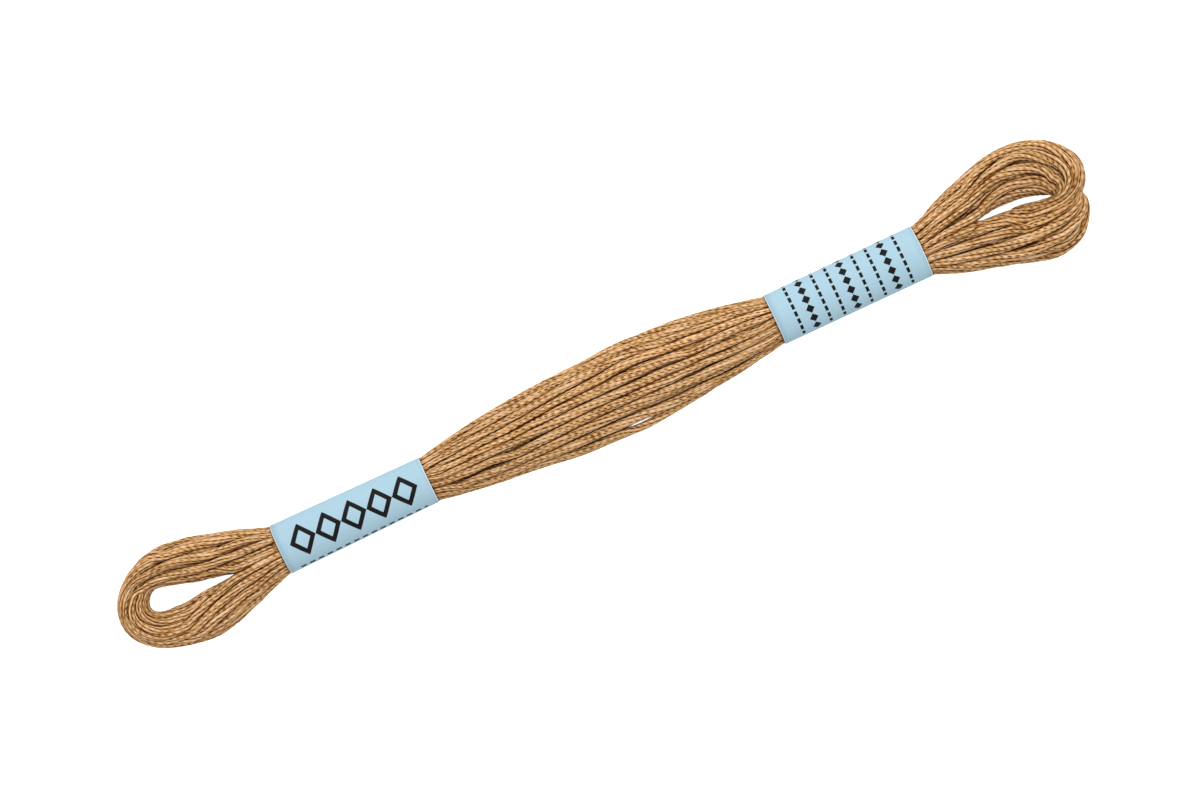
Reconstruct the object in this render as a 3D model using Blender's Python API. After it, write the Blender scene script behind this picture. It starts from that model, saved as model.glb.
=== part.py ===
"""A skein of six-stranded embroidery floss lying on its side, held by two paper bands.

The floss is wound in one long flat loop. Between the bands its two legs lie together as one
bundle. Past each band they part round an eye and meet again at the tip. The hank is one solid,
with a ridge for each strand that shows, and each paper band is a solid of its own.

+X runs along the skein, +Z is up, and Z = 0 is the surface that the skein lies on.
Every length in the constants and tables is in millimetres.
"""

import math
from collections import namedtuple

import bmesh
import bpy
from mathutils import Vector

MM = 0.001

# Paper bands
PAPER_WALL = 1.0  # thicker than paper, so that it is a sturdy solid; the floss inside makes room
PAPER_CLEARANCE = 0.3  # between the paper and the floss inside it, and past each paper edge
BAND_HEIGHT = 5.6
BAND_SIDES = 40
BAND_RINGS = 4

Band = namedtuple("Band", "name x_start x_end low_start low_end high_start high_end")
BANDS = (
    Band("paper_band_left", -55.1, -29.6, -3.10, -2.80, 5.05, 4.74),
    Band("paper_band_right", 28.8, 54.1, -3.65, -3.80, 4.60, 4.60),
)

# Strand ridges on the hank
VALLEY_DEPTHS = (0.42, 0.24, 0.34)  # in turn; a roll of as many ridges keeps them in step
POINTS_PER_RIDGE = 3
OUTER_RIDGES = 10  # from the crown over the outside of a leg to the middle of its underside
INNER_RIDGES = 5  # from there up the side that faces the eye, back to the crown
OUTER_STEPS = OUTER_RIDGES * POINTS_PER_RIDGE
INNER_STEPS = INNER_RIDGES * POINTS_PER_RIDGE
RING_STEPS = OUTER_STEPS + INNER_STEPS

PARTED = 2.5  # from crown to eye, where a leg has come clear of the other and is ridged all round
FLAT_SINK = 0.15  # share of the height that an oval section is cut off by the surface below
STATION_SPACING = 1.9  # along the bundle between the bands
LOOP_STATIONS = 30
SHOULDER = 0.5  # length over which the floss swells to full size past a paper edge
SWAY = 0.9  # how far the ridges wander round the bundle, in ridge points
SWAY_LENGTH = 23.0

# The bundle where both legs lie together, from the left eye to the right eye: its edges, the
# line where the legs meet, and its height.
Bundle = namedtuple("Bundle", "x low seam high top")
BUNDLE = (
    Bundle(-62.3, -5.35, 0.63, 7.50, 5.8),
    Bundle(-58.8, -4.15, 0.80, 6.35, 5.7),
    Bundle(-55.7, -3.25, 0.95, 5.25, 5.6),
    Bundle(-29.0, -2.85, 0.97, 4.85, 5.6),
    Bundle(-25.0, -3.45, 1.00, 5.50, 5.7),
    Bundle(-18.8, -4.30, 1.00, 6.40, 5.9),
    Bundle(-12.6, -4.95, 0.95, 7.00, 6.0),
    Bundle(-6.5, -5.80, 0.85, 7.35, 6.1),
    Bundle(-0.3, -6.10, 0.75, 7.40, 6.1),
    Bundle(4.3, -6.30, 0.70, 7.70, 6.1),
    Bundle(8.9, -6.00, 0.65, 7.50, 6.0),
    Bundle(15.0, -5.35, 0.60, 7.10, 5.9),
    Bundle(21.2, -4.65, 0.55, 6.20, 5.8),
    Bundle(24.3, -4.15, 0.50, 5.50, 5.7),
    Bundle(28.2, -3.70, 0.48, 4.75, 5.6),
    Bundle(54.7, -4.00, 0.45, 4.90, 5.6),
    Bundle(58.1, -5.35, 0.60, 6.10, 5.7),
    Bundle(61.2, -6.40, 0.80, 7.20, 5.9),
    Bundle(63.2, -7.00, 0.88, 7.85, 6.0),
)

# Sections across a leg as it turns round an eye, from the upper leg to the lower: the point on
# the eye's edge, the point on the outline, how far the crown lies from the eye towards the
# outline, as a share, and the height.
Section = namedtuple("Section", "eye_x eye_y out_x out_y crown top")
LEFT_LOOP = (
    Section(-62.3, 0.63, -62.3, 7.50, 0.00, 5.8),
    Section(-65.0, 1.20, -65.3, 8.40, 0.34, 5.8),
    Section(-68.0, 1.90, -68.5, 9.15, 0.46, 5.8),
    Section(-71.1, 2.90, -72.0, 9.50, 0.50, 5.8),
    Section(-73.6, 3.60, -75.4, 8.80, 0.52, 5.9),
    Section(-75.1, 3.70, -78.5, 7.10, 0.52, 6.0),
    Section(-76.3, 2.70, -81.0, 4.40, 0.52, 6.0),
    Section(-76.7, 1.60, -81.9, 1.00, 0.52, 6.0),
    Section(-76.3, 0.70, -81.0, -2.10, 0.52, 5.9),
    Section(-75.3, 0.15, -78.2, -4.70, 0.52, 5.8),
    Section(-73.7, 0.00, -75.0, -6.00, 0.52, 5.7),
    Section(-71.4, -0.10, -71.6, -6.80, 0.50, 5.6),
    Section(-68.8, 0.30, -68.5, -7.00, 0.46, 5.6),
    Section(-65.7, 0.45, -65.3, -6.40, 0.34, 5.7),
    Section(-62.3, 0.63, -62.3, -5.35, 0.00, 5.8),
)
RIGHT_LOOP = (
    Section(63.2, 0.88, 63.2, 7.85, 0.00, 6.0),
    Section(65.8, 1.20, 65.5, 8.60, 0.36, 6.2),
    Section(68.9, 1.35, 68.6, 9.30, 0.52, 6.4),
    Section(71.5, 1.15, 72.1, 9.50, 0.58, 6.7),
    Section(73.5, 0.60, 75.7, 8.85, 0.60, 7.0),
    Section(74.7, 0.00, 78.7, 7.30, 0.60, 7.3),
    Section(75.4, -0.46, 81.0, 4.85, 0.58, 7.4),
    Section(75.7, -0.72, 81.9, 2.20, 0.54, 7.4),
    Section(75.6, -0.92, 81.2, -0.40, 0.50, 7.2),
    Section(75.2, -1.03, 80.2, -1.90, 0.46, 6.8),
    Section(74.1, -0.85, 80.4, -3.60, 0.44, 6.4),
    Section(72.6, -0.46, 79.4, -6.10, 0.44, 6.0),
    Section(70.9, 0.00, 77.0, -8.50, 0.44, 5.8),
    Section(68.9, 0.35, 73.5, -9.50, 0.42, 5.7),
    Section(66.6, 0.57, 69.2, -8.70, 0.36, 5.7),
    Section(64.6, 0.74, 65.5, -7.70, 0.24, 5.8),
    Section(63.2, 0.88, 63.2, -7.00, 0.00, 6.0),
)
# How far the strands roll over as they turn round each eye, in whole ridges.
LEFT_ROLL = 0
RIGHT_ROLL = 3


def smooth_row(rows, at):
    """The row at a fractional index of a table, on a smooth curve through all its rows."""
    last = len(rows) - 1
    i = min(int(at), last - 1)
    t = at - i
    before, start, end, after = (rows[min(max(i + n, 0), last)] for n in (-1, 0, 1, 2))
    blended = []
    for p0, p1, p2, p3 in zip(before, start, end, after):
        pull = 2 * p1 + (p2 - p0) * t
        bend = (2 * p0 - 5 * p1 + 4 * p2 - p3) * t**2 + (3 * p1 - p0 - 3 * p2 + p3) * t**3
        blended.append((pull + bend) / 2)
    return type(start)(*blended)


def bundle_at(x):
    """The bundle's row at a place along the skein."""
    last = len(BUNDLE) - 1
    i = next((n for n in range(last) if x <= BUNDLE[n + 1].x), last - 1)
    start, end = BUNDLE[i], BUNDLE[i + 1]
    return smooth_row(BUNDLE, i + (x - start.x) / (end.x - start.x))


def oval_half(turn, top, floor):
    """Across (0 to 1) and height at a turn (0 at the crown, 1 under it) of a flat-bottomed oval."""
    reach = (top - floor) * (1 + FLAT_SINK) / 2
    angle = math.pi * (0.5 - turn)
    return math.cos(angle), max(floor, top - reach + reach * math.sin(angle))


def ridge_cut(lane):
    """How deep the surface is cut at a ring point: nothing on a ridge, most in a valley."""
    if lane % POINTS_PER_RIDGE:
        return 0.0
    return VALLEY_DEPTHS[lane // POINTS_PER_RIDGE % len(VALLEY_DEPTHS)]


def ring_point(section, place, lane, floor=0.0):
    """The point at a place round a leg's section, with the cut of the lane that runs there."""
    eye = Vector((section.eye_x, section.eye_y))
    outline = Vector((section.out_x, section.out_y))
    crown = eye.lerp(outline, section.crown)
    place %= RING_STEPS
    cut, top = ridge_cut(lane), section.top
    if place <= OUTER_STEPS:
        across, z = oval_half(place / OUTER_STEPS, top, floor)
        side = outline - crown
    else:
        side = eye - crown
        parted = min(1.0, side.length / PARTED)
        cut *= parted
        top -= VALLEY_DEPTHS[0] * (1 - parted)
        turn = math.pi * ((place - OUTER_STEPS) / INNER_STEPS - 0.5)
        across, z = math.cos(turn), floor + (top - floor) * (1 + math.sin(turn)) / 2
    middle = Vector((crown.x, crown.y, (section.top + floor) / 2))
    offset = Vector((*(side * across), z - middle.z))
    if z > floor:
        offset *= max(0.0, 1 - cut / offset.length)
    return (middle + offset) * MM


def loop_rings(rows, roll):
    """Whole rings round a leg, from where the eye opens on the upper leg to where it closes."""
    rings = []
    for station in range(LOOP_STATIONS + 1):
        share = station / LOOP_STATIONS
        section = smooth_row(rows, share * (len(rows) - 1))
        rolled = roll * POINTS_PER_RIDGE * share * share * (3 - 2 * share)
        rings.append([ring_point(section, lane - rolled, lane) for lane in range(RING_STEPS)])
    return rings


def in_band(x):
    """The band that encloses the floss at x, its clearance past each edge included, or None."""
    for band in BANDS:
        if band.x_start - PAPER_CLEARANCE <= x <= band.x_end + PAPER_CLEARANCE:
            return band
    return None


def bundle_places():
    """Where the bundle's stations lie along X: even between the bands, and close at their edges."""
    edges = [BUNDLE[0].x]
    for band in BANDS:
        start, end = band.x_start - PAPER_CLEARANCE, band.x_end + PAPER_CLEARANCE
        edges += [start - SHOULDER, start, end, end + SHOULDER]
    edges.append(BUNDLE[-1].x)
    places = [edges[0]]
    for start, end in zip(edges, edges[1:]):
        spacing = 4 * STATION_SPACING if in_band((start + end) / 2) else STATION_SPACING
        spans = max(1, round((end - start) / spacing))
        places += [start + (end - start) * n / spans for n in range(1, spans + 1)]
    return places


def sway_at(x):
    """How far the ridges have wandered round the bundle at x, which is nothing at either eye."""
    first, last = BUNDLE[0].x, BUNDLE[-1].x
    fade = math.sin(math.pi * (x - first) / (last - first))
    return SWAY * fade * math.sin(2 * math.pi * x / SWAY_LENGTH)


def bundle_half(x, edge, lanes):
    """Half a ring of the bundle at x, from the crown over one edge to the middle underneath."""
    row = bundle_at(x)
    inset = PAPER_WALL + PAPER_CLEARANCE if in_band(x) else 0.0
    outline = getattr(row, edge)
    outline -= math.copysign(inset, outline - row.seam)
    section = Section(x, row.seam, x, outline, 0.0, row.top - inset)
    sway = sway_at(x)
    half = []
    for step in range(OUTER_STEPS + 1):
        held = math.sin(math.pi * step / OUTER_STEPS)
        half.append(ring_point(section, step + sway * held, lanes[step], inset))
    return half


def skin(mesh, rings, whole):
    """Faces between neighbouring rings of points, which run all the way round if whole."""
    verts = [[mesh.verts.new(point) for point in ring] for ring in rings]
    for near, far in zip(verts, verts[1:]):
        count = len(near)
        for i in range(count if whole else count - 1):
            mesh.faces.new((near[i], near[(i + 1) % count], far[(i + 1) % count], far[i]))


def finish_solid(name, mesh, material):
    """Welds a mesh, turns its faces outwards, shades it smooth and puts it in the scene."""
    bmesh.ops.remove_doubles(mesh, verts=mesh.verts, dist=1e-7)
    bmesh.ops.dissolve_degenerate(mesh, edges=mesh.edges, dist=1e-7)
    bmesh.ops.recalc_face_normals(mesh, faces=mesh.faces)
    data = bpy.data.meshes.new(name)
    mesh.to_mesh(data)
    mesh.free()
    data.shade_smooth()
    data.set_sharp_from_angle(angle=math.radians(50))
    data.materials.append(material)
    solid = bpy.data.objects.new(name, data)
    bpy.context.scene.collection.objects.link(solid)
    return solid


def make_hank(material):
    """The floss: a bundle of two legs that part round an eye at each end."""
    mesh = bmesh.new()
    places = bundle_places()
    plain_lanes = range(OUTER_STEPS + 1)
    skin(mesh, [bundle_half(x, "high", plain_lanes) for x in places], whole=False)
    skin(mesh, [bundle_half(x, "low", plain_lanes) for x in places], whole=False)
    skin(mesh, loop_rings(LEFT_LOOP, LEFT_ROLL), whole=True)
    skin(mesh, loop_rings(RIGHT_LOOP, RIGHT_ROLL), whole=True)
    return finish_solid("floss_hank", mesh, material)


def band_ring(band, share):
    """One ring of a paper band's outside, at a share of the way along it."""
    x = band.x_start + (band.x_end - band.x_start) * share
    low = band.low_start + (band.low_end - band.low_start) * share
    high = band.high_start + (band.high_end - band.high_start) * share
    centre, reach = (low + high) / 2, (high - low) / 2
    ring = []
    for side in range(BAND_SIDES):
        turn = 2 * side / BAND_SIDES
        across, z = oval_half(turn if turn <= 1 else 2 - turn, BAND_HEIGHT, 0.0)
        ring.append(Vector((x, centre + math.copysign(reach * across, 1 - turn), z)) * MM)
    return ring


def make_band(band, material):
    """A paper band: a short oval sleeve, thickened inwards."""
    mesh = bmesh.new()
    skin(mesh, [band_ring(band, n / BAND_RINGS) for n in range(BAND_RINGS + 1)], whole=True)
    sleeve = finish_solid(band.name, mesh, material)
    wall = sleeve.modifiers.new("paper", "SOLIDIFY")
    wall.thickness = PAPER_WALL * MM
    wall.offset = -1
    wall.use_even_offset = True
    return sleeve


def make_material(name, colour, roughness):
    """A plain matte material of that colour."""
    material = bpy.data.materials.new(name)
    material.use_nodes = True
    shader = material.node_tree.nodes["Principled BSDF"]
    shader.inputs["Base Color"].default_value = (*colour, 1)
    shader.inputs["Roughness"].default_value = roughness
    shader.inputs["Metallic"].default_value = 0
    return material


def main():
    """Clears the scene and builds the skein."""
    for old in list(bpy.data.objects):
        bpy.data.objects.remove(old)
    floss = make_material("tan_cotton", (0.50, 0.28, 0.12), 0.6)
    paper = make_material("pale_blue_paper", (0.49, 0.70, 0.80), 0.7)
    make_hank(floss)
    for band in BANDS:
        make_band(band, paper)


main()
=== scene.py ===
"""A skein of tan six-stranded embroidery floss, with every turn laid as a twisted strand.

The floss runs in one long flat loop of 25 turns. Two pale blue paper bands hold its two legs
together as one bundle, and past each band the legs part round an eye. Lengths in the tables and
in the layout are in millimetres. Meshes are in metres.
"""

import logging
import math
from dataclasses import dataclass, field
from enum import Enum

import bmesh
import bpy
import numpy as np
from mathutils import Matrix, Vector


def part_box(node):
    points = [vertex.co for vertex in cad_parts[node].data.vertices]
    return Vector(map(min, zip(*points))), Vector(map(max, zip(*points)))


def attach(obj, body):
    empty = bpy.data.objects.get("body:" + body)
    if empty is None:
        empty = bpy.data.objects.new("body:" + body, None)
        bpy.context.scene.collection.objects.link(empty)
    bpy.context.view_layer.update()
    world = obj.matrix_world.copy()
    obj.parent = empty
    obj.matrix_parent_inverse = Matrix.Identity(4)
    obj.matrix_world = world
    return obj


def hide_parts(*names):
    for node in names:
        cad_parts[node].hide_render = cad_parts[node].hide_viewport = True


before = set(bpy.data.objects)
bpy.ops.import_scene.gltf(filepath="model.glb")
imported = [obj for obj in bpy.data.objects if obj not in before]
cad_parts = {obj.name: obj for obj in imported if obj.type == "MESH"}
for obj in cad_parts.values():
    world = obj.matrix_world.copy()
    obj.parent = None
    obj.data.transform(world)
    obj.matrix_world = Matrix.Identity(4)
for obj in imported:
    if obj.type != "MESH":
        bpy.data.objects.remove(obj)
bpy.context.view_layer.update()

MM = 0.001
TINY = 1e-6  # a distance that counts as none
FAR_OFF = 99.0  # a distance in millimetres that counts as out of reach
LEAST_GAIN = 1e-9  # a gain that is worth a change
log = logging.getLogger("skein")

Knots = tuple[tuple[float, float], ...]


@dataclass(frozen=True)
class BundleRow:
    """A cross-section where both legs lie together: its edges, their meeting line, its height."""

    x: float
    low: float
    seam: float
    high: float
    top: float


@dataclass(frozen=True)
class LoopRow:
    """A section across one leg as it turns round an eye, from the eye's edge to the outline.

    The roll is how many degrees the strands have rolled over by then, from the outside up over
    the top towards the eye.
    """

    eye_x: float
    eye_y: float
    out_x: float
    out_y: float
    crown: float
    top: float
    roll: float


@dataclass(frozen=True)
class Parting:
    """A groove between strands, seen from above: its route, how deep it cuts and how wide."""

    knots: Knots
    depth: float = 0.9
    gap: float = 0.12


BUNDLE = (
    BundleRow(-62.3, -5.35, 0.63, 7.50, 5.8),
    BundleRow(-58.8, -4.15, 0.80, 6.35, 5.7),
    BundleRow(-55.7, -3.25, 0.95, 5.25, 5.6),
    BundleRow(-29.0, -2.85, 0.97, 4.85, 5.6),
    BundleRow(-25.0, -3.45, 1.00, 5.50, 5.7),
    BundleRow(-18.8, -4.30, 1.00, 6.40, 5.9),
    BundleRow(-12.6, -4.95, 0.95, 7.00, 6.0),
    BundleRow(-6.5, -5.80, 0.85, 7.35, 6.1),
    BundleRow(-0.3, -6.10, 0.75, 7.40, 6.1),
    BundleRow(4.3, -6.30, 0.70, 7.70, 6.1),
    BundleRow(8.9, -6.00, 0.65, 7.50, 6.0),
    BundleRow(15.0, -5.35, 0.60, 7.10, 5.9),
    BundleRow(21.2, -4.65, 0.55, 6.20, 5.8),
    BundleRow(24.3, -4.15, 0.50, 5.50, 5.7),
    BundleRow(28.2, -3.70, 0.48, 4.75, 5.6),
    BundleRow(54.7, -4.00, 0.45, 4.90, 5.6),
    BundleRow(58.1, -5.35, 0.60, 6.10, 5.7),
    BundleRow(61.2, -6.40, 0.80, 7.20, 5.9),
    BundleRow(63.2, -7.00, 0.88, 7.85, 6.0),
)
LEFT_LOOP = (
    LoopRow(-62.3, 0.63, -62.3, 7.50, 0.00, 5.8, 0),
    LoopRow(-65.0, 1.30, -65.3, 8.40, 0.34, 5.8, 5),
    LoopRow(-68.0, 1.90, -68.5, 9.15, 0.46, 5.8, 10),
    LoopRow(-71.1, 2.90, -72.0, 9.50, 0.50, 5.8, 14),
    LoopRow(-73.6, 3.60, -75.4, 8.80, 0.52, 5.9, 14),
    LoopRow(-75.1, 3.70, -78.5, 7.10, 0.52, 6.0, 12),
    LoopRow(-76.3, 2.70, -81.0, 4.40, 0.52, 6.0, 8),
    LoopRow(-76.7, 1.60, -81.9, 1.00, 0.52, 6.0, 4),
    LoopRow(-76.3, 0.70, -81.0, -2.10, 0.52, 5.9, 0),
    LoopRow(-75.3, 0.15, -78.2, -4.70, 0.52, 5.8, 0),
    LoopRow(-73.7, 0.00, -75.0, -6.00, 0.52, 5.7, 10),
    LoopRow(-71.4, -0.10, -71.6, -6.80, 0.50, 5.6, 25),
    LoopRow(-68.8, 0.30, -68.5, -7.00, 0.46, 5.6, 38),
    LoopRow(-65.7, 0.36, -65.3, -6.40, 0.34, 5.7, 46),
    LoopRow(-62.3, 0.63, -62.3, -5.35, 0.00, 5.8, 50),
)
RIGHT_LOOP = (
    LoopRow(63.2, 0.88, 63.2, 7.85, 0.00, 6.0, 0),
    LoopRow(65.8, 1.35, 65.5, 8.60, 0.36, 6.2, -10),
    LoopRow(68.9, 1.45, 68.6, 9.30, 0.52, 6.4, -20),
    LoopRow(71.5, 1.15, 72.1, 9.50, 0.58, 6.7, -26),
    LoopRow(73.5, 0.60, 75.7, 8.85, 0.60, 7.0, -28),
    LoopRow(74.7, 0.00, 78.7, 7.30, 0.60, 7.3, -20),
    LoopRow(75.4, -0.46, 81.0, 4.85, 0.58, 7.4, 5),
    LoopRow(75.7, -0.72, 81.9, 2.20, 0.54, 7.4, 35),
    LoopRow(75.6, -0.92, 81.2, -0.40, 0.50, 7.2, 50),
    LoopRow(75.2, -1.03, 80.2, -1.90, 0.46, 6.8, 58),
    LoopRow(74.1, -0.85, 80.4, -3.60, 0.44, 6.4, 66),
    LoopRow(72.6, -0.46, 79.4, -6.10, 0.44, 6.0, 72),
    LoopRow(70.9, 0.00, 77.0, -8.50, 0.44, 5.8, 75),
    LoopRow(68.9, 0.35, 73.5, -9.50, 0.42, 5.7, 75),
    LoopRow(66.6, 0.50, 69.2, -8.70, 0.36, 5.7, 75),
    LoopRow(64.6, 0.60, 65.5, -7.70, 0.24, 5.8, 75),
    LoopRow(63.2, 0.88, 63.2, -7.00, 0.00, 6.0, 75),
)

PARTINGS = (
    # Over the middle, from the upper edge to the lower
    Parting(((10, 6.7), (15, 6.3), (19, 5.6), (24, 4.6)), 0.9, 0.15),
    Parting(((-28, 2.6), (-20, 3.1), (-12, 3.6), (-4, 4.4), (4, 4.8), (10, 4.8)), 1.2, 0.15),
    Parting(((-12, 2.2), (-6, 2.8), (0, 3.0), (6, 3.4), (14, 2.8), (28, 2.0)), 1.2, 0.15),
    Parting(
        ((-28, 0.35), (-20, 0.3), (-12, 1.1), (-4, 1.35), (4, 1.3), (12, 1.2), (20, -0.6), (28, -0.5)),
        1.7,
        0.45,
    ),
    Parting(((-18, -0.5), (-12, -0.45), (-4, -0.15), (4, -0.35), (9, -0.5), (13, -0.6)), 1.6, 0.42),
    Parting(((-28, -1.6), (-16, -1.9), (-8, -1.7), (4, -1.45), (16, -1.7), (28, -1.6)), 1.4, 0.38),
    Parting(((-26, -2.4), (-18, -2.9), (-6, -3.05), (6, -3.5), (18, -3.6), (27, -3.0)), 1.3, 0.35),
    Parting(((-16, -3.6), (-8, -4.55), (0, -4.85), (8, -5.1), (20, -4.5)), 1.0, 0.15),
    Parting(((-0.6, -4.8), (3.8, -4.85), (8.2, -4.9)), 7.0, 0.20),
    # Round the left eye
    Parting(((-55.5, 3.6), (-60, 4.0), (-67, 4.35), (-72, 5.25), (-75.5, 5.3), (-78, 4.2)), 1.3, 0.18),
    Parting(((-58, 5.4), (-63, 5.9), (-68, 6.75), (-74, 6.95), (-78, 6.0)), 1.2, 0.15),
    Parting(((-55.5, 2.4), (-61, 2.55), (-66, 3.1)), 0.9, 0.12),
    Parting(((-62.5, 7.3), (-66, 8.0), (-69, 8.45), (-74, 8.5)), 0.9, 0.15),
    Parting(((-77.5, 3.9), (-78.8, 2.0), (-78.4, 0.0), (-76.5, -1.7), (-73, -2.6)), 1.2, 0.18),
    Parting(((-55.5, -0.15), (-61, -0.6), (-65, -1.4), (-69, -2.75), (-73, -4.2)), 1.5, 0.20),
    Parting(((-58, -1.7), (-63, -2.4), (-68, -3.7), (-71, -4.9), (-74, -5.5)), 1.1, 0.15),
    # Round the right eye
    Parting(((54.5, 3.4), (60, 4.5), (64, 5.6), (69, 7.8), (73, 8.3), (77, 6.7), (79.1, 3.5)), 1.3, 0.18),
    Parting(((54.5, 1.2), (60, 2.6), (65, 3.9), (69, 5.6)), 1.0, 0.15),
    Parting(((62, 1.7), (64, 2.6), (68, 4.1), (71, 4.3), (74, 3.0)), 1.2, 0.20),
    Parting(((69, 6.3), (72, 6.7), (75, 5.6), (76.7, 3.2), (76.3, 0.8)), 1.2, 0.15),
    Parting(((54.5, -0.7), (60, -1.1), (66, -1.7), (70, -2.3)), 1.1, 0.25),
    Parting(((54.5, -1.7), (60, -2.9), (66, -3.9), (71, -4.2), (76, -3.5), (79.5, -2.2)), 1.3, 0.15),
    Parting(((55, -3.0), (60, -4.2), (65, -5.4), (70, -6.1), (76, -5.2), (79.5, -4.2)), 1.0, 0.12),
    Parting(((62, -6.1), (66, -7.3), (72, -8.3), (77, -8.0)), 0.9, 0.12),
)


def read_table(rows: np.ndarray, at: np.ndarray) -> np.ndarray:
    """Rows of a table read at fractional indices, on a smooth curve through them all.

    Args:
        rows: The table, one row for each index.
        at: The indices to read.

    Returns:
        One row for each index read.
    """
    last = len(rows) - 1
    i = np.clip(at.astype(int), 0, last - 1)
    t = (at - i)[:, None]
    before, start, end, after = (rows[np.clip(i + n, 0, last)] for n in (-1, 0, 1, 2))
    pull = 2 * start + (end - before) * t
    square = 2 * before - 5 * start + 4 * end - after
    cube = 3 * start - before - 3 * end + after
    return (pull + square * t**2 + cube * t**3) / 2


def table_of(rows: tuple) -> np.ndarray:
    """A table of dataclass rows as an array of their numbers."""
    return np.array([[getattr(row, name) for name in row.__dataclass_fields__] for row in rows])


def ease(share: np.ndarray) -> np.ndarray:
    """A soft step from 0 to 1 as the share goes from 0 to 1."""
    share = np.clip(share, 0, 1)
    return share * share * (3 - 2 * share)


def put(name: str, data: bpy.types.ID) -> bpy.types.Object:
    """Puts an object in the scene, at the origin.

    Args:
        name: The object's name.
        data: Its mesh, curve, lamp or camera.

    Returns:
        The object.
    """
    made = bpy.data.objects.new(name, data)
    bpy.context.scene.collection.objects.link(made)
    return made


def mesh_of(curve: bpy.types.Curve) -> bpy.types.Mesh:
    """The shape of a curve and its bevel, as a mesh.

    Args:
        curve: The curve.

    Returns:
        The mesh, ring after ring from the start of each spline.
    """
    laid = put(curve.name, curve)
    shown = laid.evaluated_get(bpy.context.evaluated_depsgraph_get())
    mesh = bpy.data.meshes.new_from_object(shown)
    bpy.data.objects.remove(laid)
    return mesh


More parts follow.
